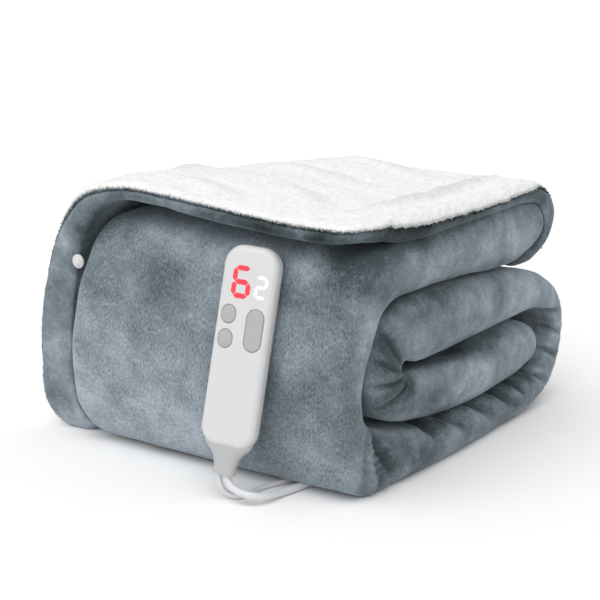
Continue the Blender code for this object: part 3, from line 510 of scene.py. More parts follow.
def outwards(obj, merge=True):
    """Merges doubled points, where asked, and turns every face outwards."""
    bm = bmesh.new()
    bm.from_mesh(obj.data)
    if merge:
        bmesh.ops.remove_doubles(bm, verts=bm.verts, dist=1e-6)
        bmesh.ops.dissolve_degenerate(bm, edges=bm.edges, dist=1e-7)
    bmesh.ops.recalc_face_normals(bm, faces=bm.faces)
    bm.to_mesh(obj.data)
    bm.free()
    return obj


def turned_ring(count):
    """The cosines and sines of a whole turn, taken in so many equal steps."""
    turn = np.linspace(0, 2 * np.pi, count, endpoint=False)
    return np.cos(turn), np.sin(turn)


def keep(piece, material, body, slot, *nodes):
    """Gives a piece its finish and body, and hides the nodes that it stands for."""
    piece.data.materials.clear()
    piece.data.materials.append(material)
    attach(piece, body)
    if nodes:
        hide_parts(*nodes)


# ---- finishes
def per(mm):
    """A pattern's scale, in cells to the metre, from the width of one cell."""
    return 1 / (mm * MM)


def dimmed(tint, light):
    """A colour at a share of its light."""
    return (*[part * light for part in tint[:3]], 1.0)


def feed(tree, made, feeds):
    """Feeds a node's sockets: each with a value, a socket, or another node's first output."""
    for name, value in dict(feeds).items():
        if isinstance(value, bpy.types.Node):
            value = value.outputs[0]
        if isinstance(value, bpy.types.NodeSocket):
            tree.links.new(value, made.inputs[name])
        else:
            made.inputs[name].default_value = value


def node(tree, kind, feeds=(), stops=(), **settings):
    """Adds a node, sets its properties, feeds its sockets, and sets its colours at their places."""
    made = tree.nodes.new("ShaderNode" + kind)
    for name, value in settings.items():
        setattr(made, name, value)
    feed(tree, made, feeds)
    if stops:
        elements = made.color_ramp.elements
        elements[0].position, elements[1].position = stops[0][0], stops[-1][0]
        for position, _ in stops[1:-1]:
            elements.new(position)
        for element, (_, tint) in zip(elements, stops):
            element.color = tint
    return made


def finish(name, feeds):
    """A new material, its tree and its shader, with the given values set on the shader."""
    made = bpy.data.materials.new(name)
    made.use_nodes = True
    tree = made.node_tree
    shader = tree.nodes["Principled BSDF"]
    feed(tree, shader, feeds)
    return made, tree, shader


def flannel_finish():
    """Flannel fleece: a warp-knit polyester ground, brushed to a short nap on its face.

    The nap lies over in patches, so that it shades pale and deep like velvet; painted light and
    shade from the nap attribute adds to these patches, darkest where folds, gaps and holes hold shade.
    It scatters light widely, has no gloss, and is edged with sheen where it is seen along the cloth.
    The wales of the ground show through as fine ribs, drawn coarser than real ones so that they show.
    """
    found = bpy.data.materials.get("brushed_flannel_fleece")
    if found:
        return found
    s = bpy.context.scene.blanket_cloth
    made, tree, shader = finish("brushed_flannel_fleece", {
        "Roughness": 0.92, "Specular IOR Level": 0.22, "IOR": 1.5, "Sheen Weight": 0.55,
        "Sheen Roughness": 0.42, "Sheen Tint": linear("#b9c6cf")})
    place = node(tree, "TexCoord").outputs
    # the nap attribute carries painted light and shade, with the nap's own patches
    lie = node(tree, "Attribute", attribute_name="nap").outputs["Fac"]
    rubbed = node(tree, "Attribute", attribute_name="rubbed").outputs["Fac"]
    laid = node(tree, "TexNoise", {"Vector": place["Object"], "Scale": per(41.667), "Detail": 3.0,
                                   "Roughness": 0.5, "Distortion": 0.3})
    fine = node(tree, "TexNoise", {"Vector": place["Object"], "Scale": per(9.091), "Detail": 3.0,
                                   "Roughness": 0.7})
    wales = node(tree, "Mapping", {"Vector": place["UV"], "Scale": (1 / s.wale, 0.5 / s.wale, 1)})
    streaks = node(tree, "TexNoise", {"Vector": wales, "Scale": 1.0, "Detail": 2.0,
                                      "Roughness": 0.6})
    locks = node(tree, "TexNoise", {"Vector": place["Object"], "Scale": 1 / s.lock, "Detail": 2.0,
                                    "Roughness": 0.65})
    patch = node(tree, "Mix", {"Factor": 0.3, 2: laid, 3: fine})
    grain = node(tree, "Mix", {"Factor": 0.4, 2: streaks, 3: locks})
    shows = node(tree, "MapRange", {"Value": rubbed, "To Min": 0.28, "To Max": 0.5})
    both = node(tree, "Mix", {"Factor": shows, 2: patch, 3: grain})
    depth = node(tree, "Math", {0: both, 1: lie})
    # painted light and shade: pale where light is painted, deep and near black where shade is painted
    ramp = node(tree, "ValToRGB", {"Fac": depth}, (
        (0.16, s.flannel_fold_shade), (0.36, s.flannel_deep), (0.5, s.flannel), (0.67, s.flannel_pale)))
    bump = node(tree, "Bump", {"Height": grain, "Strength": 0.7, "Distance": 0.9 * MM})
    feed(tree, shader, {"Base Color": ramp, "Normal": bump})
    return made


def plush_finish():
    """Sherpa plush: curled polyester pile on a knit ground, near white.

    Curl tips are bright, and the ground between them and the pile's dents are painted darker as
    painted shade.  It scatters light through the pile, so that shade in it is soft.
    """
    found = bpy.data.materials.get("curled_sherpa_plush")
    if found:
        return found
    s = bpy.context.scene.blanket_cloth
    made, tree, shader = finish("curled_sherpa_plush", {
        "Roughness": 0.95, "Specular IOR Level": 0.15, "IOR": 1.5, "Sheen Weight": 0.25,
        "Sheen Roughness": 0.5, "Sheen Tint": (1, 1, 1, 1)})
    place = node(tree, "TexCoord").outputs["Object"]
    # the height attribute paints shade: darker between the curls and in the pile's dents
    height = node(tree, "Attribute", attribute_name="height").outputs["Fac"]
    curls = node(tree, "TexNoise", {"Vector": place, "Scale": per(1.923), "Detail": 2.0,
                                    "Distortion": 2.2})
    both = node(tree, "Mix", {"Factor": 0.45, 2: height, 3: curls})
    ramp = node(tree, "ValToRGB", {"Fac": both}, ((0.22, s.plush_crevice_shade), (0.62, s.plush)))
    bump = node(tree, "Bump", {"Height": curls, "Strength": 0.4, "Distance": 0.8 * MM})
    feed(tree, shader, {"Base Color": ramp, "Normal": bump})
    return made


# setting: (material, roughness, mottling, the texture's depth and grain in millimetres)
MOULDED = {
    "shell": ("moulded_abs_shell", 0.36, 0.015, 0.03, 0.3846),
    "boot": ("soft_moulded_boot", 0.5, 0.015, 0.03, 0.3846),
    "button": ("silicone_coated_button", 0.55, 0.015, 0.03, 0.3846),
    "cord": ("vinyl_cord_sheath", 0.42, 0.03, 0.08, 1.111),
}


def moulded_finish(setting):
    """Moulded plastic with a fine spark-eroded texture: even colour, soft gloss, faint mottling."""
    name, roughness, mottled, deep, wide = MOULDED[setting]
    found = bpy.data.materials.get(name)
    if found:
        return found
    tint = getattr(bpy.context.scene.blanket_hard, setting)
    made, tree, shader = finish(name, {"IOR": 1.5, "Specular IOR Level": 0.5})
    place = node(tree, "TexCoord").outputs["Object"]
    cloudy = node(tree, "TexNoise", {"Vector": place, "Scale": per(16.667), "Detail": 3.0})
    grain = node(tree, "TexNoise", {"Vector": place, "Scale": per(wide), "Detail": 1.0})
    ramp = node(tree, "ValToRGB", {"Fac": cloudy}, ((0, dimmed(tint, 1 - mottled)), (1, tint)))
    rough = node(tree, "MapRange", {"Value": cloudy, "To Min": roughness - 0.04,
                                    "To Max": roughness + 0.04})
    bump = node(tree, "Bump", {"Height": grain, "Strength": 0.35, "Distance": deep * MM})
    feed(tree, shader, {"Base Color": ramp, "Roughness": rough, "Normal": bump})
    return made


def metal_finish():
    """Nickel-plated brass, stamped: bright, with drawn lines along the blade."""
    made, tree, shader = finish("nickel_plated_brass", {"Metallic": 1.0,
                                                        "Base Color": linear("#cfcac0")})
    place = node(tree, "TexCoord").outputs["Object"]
    drawn = node(tree, "Mapping", {"Vector": place, "Scale": (per(1.111), per(1.111), per(16.667))})
    lines = node(tree, "TexNoise", {"Vector": drawn, "Scale": 1.0})
    rough = node(tree, "MapRange", {"Value": lines, "To Min": 0.2, "To Max": 0.38})
    feed(tree, shader, {"Roughness": rough})
    return made


def digit_finish(name, tint, glow):
    """A display segment lit from behind the shell: its own colour, and light of that colour."""
    made, tree, shader = finish(name, {"Roughness": 0.4, "Emission Strength": glow,
                                       "Emission Color": tint})
    place = node(tree, "TexCoord").outputs["Object"]
    uneven = node(tree, "TexNoise", {"Vector": place, "Scale": per(3.333)})
    ramp = node(tree, "ValToRGB", {"Fac": uneven}, ((0, dimmed(tint, 0.9)), (1, tint)))
    feed(tree, shader, {"Base Color": ramp})
    return made


# ---- the stage
class BLANKET_OT_stage(bpy.types.Operator):
    """Makes the camera, the pale floor and the soft studio light"""
    bl_idname = "blanket.stage"
    bl_label = "Stage"

    def execute(self, context):
        s, scene = context.scene.blanket_stage, context.scene
        target = Vector((-0.0057, 0.0208, 0.085))
        back = Vector((math.sin(s.azimuth) * math.cos(s.elevation),
                       -math.cos(s.azimuth) * math.cos(s.elevation), math.sin(s.elevation)))
        camera = linked("camera", bpy.data.cameras.new("camera"))
        camera.data.lens, camera.data.sensor_width = s.lens, 36.0
        camera.location = target + back * s.distance
        camera.rotation_euler = (-back).to_track_quat("-Z", "Y").to_euler()
        scene.camera = camera
        scene.view_settings.view_transform = "Standard"

        corners = np.array(((-1, -1, 0), (1, -1, 0), (1, 1, 0), (-1, 1, 0)))
        floor = mesh_of("floor", corners * FLOOR_HALF - SHIFT, [(0, 1, 2, 3)])
        floor.location.z = -FLOOR_DROP * MM
        made, tree, shader = finish("matt_white_floor", {"Roughness": 0.9,
                                                         "Specular IOR Level": 0.1})
        place = node(tree, "TexCoord").outputs["Object"]
        clouds = node(tree, "TexNoise", {"Vector": place, "Scale": per(1250)})
        ramp = node(tree, "ValToRGB", {"Fac": clouds}, (
            (0, linear("#f7f7f7")), (1, linear("#fafafa"))))
        feed(tree, shader, {"Base Color": ramp})
        floor.data.materials.append(made)

        world = bpy.data.worlds.new("studio")
        scene.world = world
        world.use_nodes = True
        tree = world.node_tree
        feed(tree, tree.nodes["Background"], {"Color": (1, 1, 1, 1), "Strength": s.sky})
        lamp = linked("key", bpy.data.lights.new("key", "SUN"))
        lamp.data.energy, lamp.data.angle = s.key, s.softness
        lamp.location = s.key_from
        lamp.rotation_euler = Vector(s.key_from).to_track_quat("Z", "Y").to_euler()
        return {"FINISHED"}


# ---- the leads
def centreline(knots, count):
    """So many points along a smooth line through the knots."""
    along = lengths(knots)
    return smooth(knots, along, np.linspace(0, along[-1], count))


def cord_piece(name, line, diameter):
    """A round cord as a curve of one spline through a line of points, in millimetres."""
    curve = bpy.data.curves.new(name, "CURVE")
    curve.dimensions = "3D"
    curve.bevel_depth, curve.bevel_resolution = diameter / 2 * MM, 5
    curve.use_fill_caps = True
    spline = curve.splines.new("POLY")
    spline.points.add(len(line) - 1)
    spline.points.foreach_set("co", np.c_[(line + SHIFT) * MM, np.ones(len(line))].ravel())
    return linked(name, curve)


def coil_line():
    """The coil's seven turns: a point goes round the mean circle, and changes its place across
    the bundle once a turn, later turns first, so that no two are in one place."""
    turns = len(COIL_PLACES)
    angle = np.radians(np.arange(COIL_ENTRY, COIL_EXIT + 360.0 * turns, 5.0))
    places = np.array(COIL_PLACES) * MAINS_DIAMETER
    across = places[0]
    for k in range(turns - 1):
        start = COIL_ENTRY + 360.0 * (k + 1) - COIL_EARLY + COIL_STAGGER * (turns - 2 - k)
        share = eased((angle - math.radians(start)) / math.radians(COIL_CHANGE))[:, None]
        across = across + share * (places[k + 1] - places[k])
    radius = COIL_MEAN_RADIUS + across[:, 0]
    return COIL_AT + joined(radius * np.cos(angle), radius * np.sin(angle), across[:, 1])


def swept(name, line, radius):
    """A round body along a line: a circle of the given radius at each point, square to the line."""
    way = unit(np.gradient(line, axis=0))
    side = unit(np.cross(way, (0, 0, 1.0)))
    across, up = turned_ring(24)
    ring = across[:, None] * side[:, None] + up[:, None] * np.cross(side, way)[:, None]
    grid = line[:, None] + ring * radius[:, None, None]
    return outwards(grid_piece(name, grid, (False, True), capped=True))


def coil_tie():
    """The tie round the coil's turns: a flat strap carried round the bundle's section."""
    angle = math.radians(COIL_TIE)
    out = np.array((math.cos(angle), math.sin(angle), 0))
    tangent = np.array((-math.sin(angle), math.cos(angle), 0))
    across, up = turned_ring(48)
    ring = across[:, None] * out + up[:, None] * np.array((0, 0, TIE_FLAT))
    grid = COIL_AT + out * COIL_MEAN_RADIUS + TIE[:, :1] * ring[:, None] + TIE[:, 1:] * tangent
    return outwards(grid_piece("coil_tie", grid, (True, True)))


class BLANKET_OT_leads(bpy.types.Operator):
    """Lays the mains lead with its coil and tie, and the thin lead that goes into the blanket"""
    bl_idname = "blanket.leads"
    bl_label = "Leads"

    def execute(self, context):
        cord = moulded_finish("cord")
        line = centreline(np.concatenate([MAINS_ROUTE, coil_line()[2:-2], TAIL_ROUTE]), 900)
        mains = cord_piece("mains_lead", line, MAINS_DIAMETER)
        keep(mains, cord, "blanket", "cord_grey", "mains_cord", "mains_coil", "mains_tail")
        # its relief at the plug: a ribbed taper that follows the lead
        along = lengths(line)
        share = np.linspace(0, 1, 61)
        points = smooth(line, along, along[-1] + (share - 1) * RELIEF_LONG)
        ribs = RELIEF_RIB * np.cos(share * 2 * np.pi * RELIEF_RIBS) * (share < 0.97)
        relief = swept("plug_relief", points, RELIEF_THIN + RELIEF_GROWS * share + ribs)
        keep(relief, cord, "blanket", "cord_grey")
        keep(coil_tie(), moulded_finish("boot"), "blanket", "boot_grey")
        rows = np.array(LEAD_ROUTE)
        lead = cord_piece("thin_lead", centreline(rows, 220), LEAD_DIAMETER)
        keep(lead, cord, "blanket", "cord_grey", "blanket_lead")
        return {"FINISHED"}


# ---- the folded band
def band_grid(step):
    """The folded band: a padded section, round at both sides, carried along the folds.

    Round a section the place runs over the outer face's right end, down the right edge, over the
    inner face, up the left edge and back over the outer face.  Each stretch of it is a place in X,
    and a share of the half thickness out from the section's middle line.
    """
    rows = np.array(BAND_ROWS, float)
    along = lengths(rows[:, :2])
    at = np.linspace(0, along[-1], round(along[-1] / step) + 1)
    r = dict(zip(BAND_COLUMNS, smooth(rows, along, at).T[..., None]))
    outer, inner = joined(r["outer_y"], r["outer_z"]), joined(r["inner_y"], r["inner_z"])
    middle, half = (outer + inner) / 2, (outer - inner) / 2
    depth = np.minimum(DEEPEST_EDGE, EDGE_DEPTH * np.linalg.norm(half, axis=-1))
    left_round = r["left_round"]
    left_depth = np.minimum(depth, left_round)
    waist = -LEFT_WAIST * np.clip((left_round - 18) / 26, 0, 1)
    right = r["right_x"] - depth
    under_left, over_left = r["left_x"] + left_depth, r["left_x"] + left_round
    turn = np.linspace(0, np.pi / 2, 10)
    face = np.linspace(0, 1, round(FACE_WIDTH / step))[1:-1]
    back = np.linspace(0, 1, 16)[1:-1]
    section = np.concatenate([joined(x, up) for x, up in (
        (right + depth * np.sin(turn), np.cos(turn)),
        (right + depth * np.cos(turn[1:]), -np.sin(turn[1:])),
        (right + (under_left - right) * back, -1.0),
        (under_left - left_depth * np.sin(turn), waist - (1 + waist) * np.cos(turn)),
        (over_left - left_round * np.cos(turn[1:]), waist + (1 - waist) * np.sin(turn[1:])),
        (over_left + (right - over_left) * face, 1.0))], axis=1)
    return np.concatenate([section[..., :1], middle + half * section[..., 1:]], axis=-1), at


class BLANKET_OT_band(bpy.types.Operator):
    """Makes the flannel band, folded back and forth, with its creases"""
    bl_idname = "blanket.band"
    bl_label = "Folded band"

    def execute(self, context):
        grid, at = band_grid(context.scene.blanket_cloth.step / MM)
        grid = settled(grid)
        soft = 0.9 * mottle(grid, 62, 1) + 0.5 * mottle(grid, 24, 2) + 0.16 * mottle(grid, 9, 3)
        round_it = lengths(np.concatenate([grid, grid[:, :1]], axis=1))
        whole = round_it[:, -1:]
        across = np.where(round_it > whole / 2, whole - round_it, -round_it)[:, :-1]
        moved = creased(across, np.broadcast_to(at[:, None], across.shape), BAND_CREASES)
        grid = grid + normals_of(grid, closed=True) * (soft - 0.5 + moved)[..., None]
        # painted light and shade: the patches, darker along the creases' troughs and a little paler on
        # their ridges, and a little darker away from the front face
        nap = painted_light_and_nap_of(grid) + 0.028 * np.clip(moved, -5, 1) - 0.03 * (1 - rubbed_of(grid))
        band = grid_piece("folded_band", grid, (False, True), capped=True,
                          uv=joined(round_it, at[:, None]) * MM, nap=nap, rubbed=rubbed_of(grid))
        keep(band, flannel_finish(), "blanket", "flannel", "flannel_cloth")
        return {"FINISHED"}


# ---- the layer over the top: u runs across it, from its right edge over the top and down the left
# side, and v runs along it, from its front edge over the far end.  Both are in millimetres along
# the cloth, as arrays of one shape.
OVER, ALONG = np.array(OVER_ROWS, float), np.array(ALONG_ROWS, float)
U_AT, V_AT = lengths(OVER[:, 2:4]), lengths(ALONG[:, :2])
U_FULL, V_FULL = U_AT[-1], V_AT[-1]


def corners_rounded(u, v):
    """Places on the layer, drawn in so that its four corners are round: the square of each corner
    goes onto a quarter disc."""
    near = (u < U_FULL / 2) & (v < V_FULL / 2)
    round_u = np.where(near, NEAR_CORNER_ACROSS, CORNER_ROUND)
    round_v = np.where(near, NEAR_CORNER_ALONG, CORNER_ROUND)
    out_u = np.maximum(1 - np.minimum(u, U_FULL - u) / round_u, 0)
    out_v = np.maximum(1 - np.minimum(v, V_FULL - v) / round_v, 0)
    scale = np.maximum(out_u, out_v) / np.maximum(np.hypot(out_u, out_v), 1e-9)
    in_u, in_v = round_u * (1 - out_u * scale), round_v * (1 - out_v * scale)
    both = (out_u > 0) & (out_v > 0)
    return (np.where(both, np.where(u < U_FULL / 2, in_u, U_FULL - in_u), u),
            np.where(both, np.where(v < V_FULL / 2, in_v, V_FULL - in_v), v))


def over_faces(u, v):
    """The layer's inner and outer face at places on it, and the share of its height that its pile
    stands to: the sections across, each sunk and turned as the rows along say."""
    u, v = corners_rounded(u, v)
    o = dict(zip(OVER_COLUMNS, np.moveaxis(smooth(OVER, U_AT, u), -1, 0)))
    reach = o["reach"] * LEFT_LENGTH + (V_FULL - LEFT_LENGTH) * eased(o["reach"] * 5 - 4)
    places = np.where(v < NEAR_RIM, v, np.where(
        v > V_FULL - NEAR_RIM, reach - (V_FULL - v),
        NEAR_RIM + (v - NEAR_RIM) * (reach - 2 * NEAR_RIM) / (V_FULL - 2 * NEAR_RIM)))
    a = dict(zip(ALONG_COLUMNS, np.moveaxis(smooth(ALONG, V_AT, places), -1, 0)))
    side = o["side"]
    lean = side * np.pi / 2
    front = np.clip(1 - places / V_AT[1], 0, 1) * (o["front_y"] - ALONG[0, 0])
    level = a["levelled"] * (1 - side)
    faces = []
    for which, top_z in TOP_Z.items():
        z, drop = o[which + "_z"], a[which + "_drop"] * (1 - (1 - SIDE_DROP) * side)
        faces.append(joined(o[which + "_x"] + drop * np.sin(lean), a[which + "_y"] + front,
                            z - (z - top_z) * level - drop * np.cos(lean)))
    stands = 1 - (1 - SIDE_PILE) * side**3 + SHOULDER_PILE * 4 * side * (1 - side)
    return *faces, stands * (1 - (1 - FAR_PILE) * a["levelled"] ** 2)


def between(u, v, share, pile=0.0):
    """Points of the layer at a share of its thickness, or above its outer face by its pile."""
    inner, outer, stands = over_faces(u, v)
    thick = outer - inner
    return settled(inner + thick * share[..., None] + unit(thick) * (stands * pile)[..., None])


def stepped(x, start, over):
    """A smooth step from 0 to 1, from a start and over a length, which may run backwards."""
    return eased((x - start) / over)


def from_rim(u, v, corner=0.0):
    """Each place's distance from the nearest edge of the layer, whose corners have that radius."""
    u, v = np.minimum(u, U_FULL - u), np.minimum(v, V_FULL - v)
    in_corner = (u < corner) & (v < corner)
    return np.where(in_corner, corner - np.hypot(corner - u, corner - v), np.minimum(u, v))


def ragged(u, v):
    """The same with the pile's corners, made uneven by a millimetre or so."""
    flat = joined(u, v)
    moved = RIGHT_OUT * stepped(u, *RIGHT_OUT_AT) - BEND_IN * stepped(v, *BEND_IN_AT)
    moved = moved - FAR_IN * stepped(v, *FAR_IN_AT)
    uneven = 0.45 * mottle(flat, 6.0, 41) + 0.4 * mottle(flat, 2.4, 42)
    return from_rim(u, v, PILE_CORNER) + moved + uneven


def hem_shares(u, v):
    """Where the hem's two faces lie in the layer's thickness: round at its edge, and along the
    right edge lying close on the fold below it."""
    edge = from_rim(u, v)
    bulge = (1 - np.clip(1 - edge / HEM_ROUND, 0, 1) ** 2.2) ** (1 / 2.2)
    long_bulge = np.sqrt(1 - np.clip(1 - edge / HUG_ROUND, 0, 1) ** 2)
    u, v = corners_rounded(u, v)
    hugging = stepped(u, *HUG_ACROSS) * stepped(v, *HUG_ALONG)
    low = (0.5 - 0.5 * bulge) * (1 - hugging) - 0.06 * hugging
    high = (0.5 + 0.46 * bulge) * (1 - hugging) + 0.96 * long_bulge * hugging
    return low, high


def rim_lines(length, near, step):
    """Lines close together near both ends, as near says, and about a step apart between them."""
    near = np.array(near)
    count = max(2, round((length - 2 * near[-1]) / step) + 1)
    inside = np.linspace(near[-1], length - near[-1], count)
    return np.concatenate([near[:-1], inside, length - near[:-1][::-1]])


def sheet_between(name, low, high, us):
    """A closed sheet between two grids: both faces, softly uneven, and a wall round their rims."""
    rows, columns = low.shape[:2]
    inside = np.zeros((rows, columns))
    inside[1:-1, 1:-1] = 1
    for grid, seed, sign in ((low, 11, -1.0), (high, 12, 1.0)):
        wave = 0.35 * mottle(grid, 18.0, seed) + 0.25 * mottle(grid, 7.0, seed + 3)
        grid += sign * normals_of(grid) * (wave * inside)[..., None]
    faces, corner_i, corner_j = grid_faces(rows, columns)
    arc = lengths(high)
    uv = joined(us[corner_i], arc[corner_i, corner_j])
    count = rows * columns
    rim = np.concatenate([
        np.arange(columns), np.arange(1, rows) * columns + columns - 1,
        (rows - 1) * columns + np.arange(columns - 2, -1, -1), np.arange(rows - 2, 0, -1) * columns])
    following = np.roll(rim, -1)
    wall = joined(rim, following, following + count, rim + count)
    wall_uv = joined(us[wall % count // columns], arc.ravel()[wall % count])
    points = np.concatenate([low.reshape(-1, 3), high.reshape(-1, 3)])
    all_faces = np.concatenate([faces[:, ::-1], faces + count, wall])
    all_uv = np.concatenate([uv[:, ::-1], uv, wall_uv]).reshape(-1, 2) * MM
    # the nap attribute paints light and shade on the layer and its hem, from the patches
    return outwards(mesh_of(name, points, all_faces.tolist(), all_uv, nap=painted_light_and_nap_of(points),
                            rubbed=np.zeros(len(points))), merge=False)


class BLANKET_OT_top_layer(bpy.types.Operator):
    """Makes the flannel of the layer over the top, with its turned hem"""
    bl_idname = "blanket.top_layer"
    bl_label = "Top layer and hem"

    def execute(self, context):
        near = (0, 0.15, 0.45, 0.9, 1.5, 2.3, 3.2, 4.0, 5.0, 6.2, 7.5, 9, 12, 16, 21)
        us, vs = rim_lines(U_FULL, near, 4.0), rim_lines(V_FULL, near, 4.0)
        u, v = np.meshgrid(us, vs, indexing="ij")
        low, high = hem_shares(u, v)
        under_pile = stepped(ragged(u, v), *UNDER_PILE)
        high = np.maximum(high - 0.5 * under_pile, low + 0.1)
        made = sheet_between("top_layer", between(u, v, low), between(u, v, high), us)
        keep(made, flannel_finish(), "blanket", "flannel")
        return {"FINISHED"}


class BLANKET_OT_lining(bpy.types.Operator):
    """Makes the sherpa lining on the layer over the top, with its curls"""
    bl_idname = "blanket.lining"
    bl_label = "Sherpa lining"

    def execute(self, context):
        s = context.scene.blanket_cloth
        start = PILE_FROM - PILE_LOW
        near = (0, 0.5, 0.9, 1.3, 1.7, 2.1, 2.5, 3.0, 3.6, 4.3, 5.2, 6.4)
        us = start + rim_lines(U_FULL - 2 * start, near, s.lining_step / MM)
        vs = start + rim_lines(V_FULL - 2 * start, near, s.lining_step / MM)
        sparse = (np.arange(len(vs)) % 3 == 0) | (vs > V_FULL - start - 1.0)
        vs = vs[(vs < OUT_OF_SIGHT) | sparse]
        u, v = np.meshgrid(us, vs, indexing="ij")
        edge = ragged(u, v) - PILE_FROM
        rise = np.sqrt(1 - (1 - np.clip(edge / PILE_RISE, 0, 1)) ** 2)
        low, hem = hem_shares(u, v)
        share = hem + (0.97 - hem) * eased(edge / 1.5) - 0.3 * np.clip(-edge / 1.2, 0, 1)
        share = np.maximum(share - 0.35 * np.clip(-edge / 6 - 0.2, 0, 1), low + 0.4 * (hem - low))
        flat = joined(u, v)
        warp = joined(mottle(flat, 7.0, 31), mottle(flat, 7.0, 32))
        curl, tall = s.curl / MM, s.curl_height / MM
        lumps = 0.6 * pebbles(flat + 2.4 * warp, curl, 33)
        lumps = lumps + 0.4 * pebbles(flat - 1.6 * warp, 0.5 * curl, 34)
        soft = 1.6 * mottle(flat, 34.0, 35) + 1.1 * mottle(flat, 14.0, 36) - 0.4
        waves = creased(u, v, PILE_CREASES)
        grid = between(u, v, share, PILE_TALL * rise)
        fade = eased((edge + 0.2) / 2.4) * (0.35 + 0.65 * rise) * (0.4 + 0.6 * over_faces(u, v)[2])
        out = fade * (tall * 1.9 * (lumps - 0.45) + soft * 0.6 + waves)
        grid = grid + normals_of(grid) * out[..., None]
        # its height attribute paints shade between the curls and in the pile's dents
        made = grid_piece("sherpa_pile", grid, uv=flat * MM, height=lumps + 0.12 * waves)
        keep(made, plush_finish(), "blanket", "plush", "sherpa_lining")
        return {"FINISHED"}


def tufts(name, roots, ways, tall, wide, seed):
    """Short tufts: at each root a three-sided lock that narrows to a tip, bent over sideways."""
    rng = np.random.default_rng(seed)
    count = len(roots)
    ways = unit(ways)
    side = unit(np.cross(ways, rng.normal(size=(count, 3))))
    other = np.cross(ways, side)
    bend = side * rng.normal(0, 0.35, (count, 1)) + other * rng.normal(0, 0.35, (count, 1))
    tall = (tall * rng.uniform(0.55, 1.3, count))[:, None]
    wide = (wide * rng.uniform(0.6, 1.3, count))[:, None]
    across, up = turned_ring(3)
    ring = across[:, None] * side[:, None] + up[:, None] * other[:, None]
    rings = [(roots + ways * tall * share + bend * tall * share**2)[:, None]
             + ring * (wide * width)[:, None] for share, width in ((0, 1), (0.5, 0.75))]
    tips = (roots + (ways + bend) * tall)[:, None]
    points = np.concatenate([*rings, tips], axis=1).reshape(-1, 3)
    base = np.arange(count)[:, None] * 7
    faces = []
    for lock in ((0, 1, 4, 3), (1, 2, 5, 4), (2, 0, 3, 5), (3, 4, 6), (4, 5, 6), (5, 3, 6), (2, 1, 0)):
        faces += (base + np.array(lock)).tolist()
    # the tufts' colour: the patches' painted light and shade, and a little deeper still as painted
    # shade
    return outwards(mesh_of(name, points, faces, nap=painted_light_and_nap_of(points) - 0.07), merge=False)


def rim_places(at, apart, rng):
    """Scattered places all round the layer, at a distance from its edge, and the way inwards."""
    places, inwards = [], []
    for across, long, wide in ((False, U_FULL, V_FULL), (True, V_FULL, U_FULL)):
        for far in (False, True):
            run = np.arange(at, long - at, apart)
            off = at + rng.uniform(-0.8, 0.8, len(run))

            def spots():
                rim = wide - off if far else off
                return (rim, run) if across else (run, rim)

            for _ in range(3):  # moves each place until it is that far from the ragged edge
                off = np.clip(off + at - ragged(*spots()), 0.6, 30.0)
            places.append(joined(*spots()))
            way = (-1.0 if far else 1.0, 0.0)
            inwards.append(np.full((len(run), 2), way if across else way[::-1]))
    return np.concatenate(places), np.concatenate(inwards)


class BLANKET_OT_hem_tufts(bpy.types.Operator):
    """Makes the ragged line of tufts where the hem meets the lining"""
    bl_idname = "blanket.hem_tufts"
    bl_label = "Hem tufts"

    def execute(self, context):
        rng = np.random.default_rng(5)
        for name, at, apart, tall, wide, into, pile, material, slot in (
            ("hem_nap", PILE_FROM - 0.4, 0.35, 2.6, 0.5, -0.2, 0.0, flannel_finish(), "flannel"),
            ("lining_fringe", PILE_FROM + 0.9, 0.3, 2.2, 0.75, -1.2, 1.4, plush_finish(), "plush"),
        ):
            places, inwards = rim_places(at, apart, rng)
            u, v = places.T
            share = hem_shares(u, v)[1]
            surface = between(u, v, share, pile)
            ahead = between(*(places + inwards).T, share, pile)
            out = unit(between(u, v, share + 0.1, pile) - surface)
            ways = out + into * (ahead - surface) + rng.normal(0, 0.25, surface.shape)
            standing = 0.2 + 0.8 * over_faces(u, v)[2]
            keep(tufts(name, surface, ways, tall * standing, wide, 6), material, "blanket", slot)
        return {"FINISHED"}


# ---- the controller
def placed(points):
    """Points in the controller's own frame, put where the controller leans."""
    turn, lean, roll = (Matrix.Rotation(math.radians(angle), 3, axis) for angle, axis in (
        (CONTROLLER_TURN, "Z"), (-CONTROLLER_LEAN, "X"), (CONTROLLER_ROLL, "Y")))
    return points @ np.array(turn @ lean @ roll).T + CONTROLLER_AT


def face_y(x, z):
    """The front face's depth: nearly flat, falling away in a low crown towards its sides."""
    return (CROWN_ACROSS * (2 * np.abs(x) / BODY_WIDTH) ** 2.4
            + CROWN_ALONG * (2 * np.abs(z) / BODY_LENGTH) ** 6 - BODY_DEPTH / 2)


def body_outline():
    """The controller's outline: four quarter circles, and even steps down the sides between."""
    turn = np.linspace(0, 1, 18)
    quarters = []
    for start, (x, z, radius) in enumerate(((1, 1, TOP_CORNER), (-1, 1, TOP_CORNER),
                                            (-1, -1, BOTTOM_CORNER), (1, -1, BOTTOM_CORNER))):
        angle = (start + turn) * np.pi / 2
        quarters.append(joined(x * (BODY_WIDTH / 2 - radius) + radius * np.cos(angle),
                               z * (BODY_LENGTH / 2 - radius) + radius * np.sin(angle)))
    ring = np.concatenate([*quarters, quarters[0][:1]])
    along = lengths(ring)
    even = np.linspace(0, along[-1], 160, endpoint=False)
    at = np.unique(np.round(np.concatenate([along[:-1], even]), 3))
    return joined(*(np.interp(at, along, part) for part in ring.T))


def ring_at(xz, y):
    """A ring of points with their places across and up the controller, at a depth."""
    return joined(xz[:, 0], y, xz[:, 1])


def middle_of(outline, straight):
    """The nearest point to each of an outline's on its middle line, a straight length each way."""
    return joined(0.0, np.clip(outline[:, 1], -straight, straight))


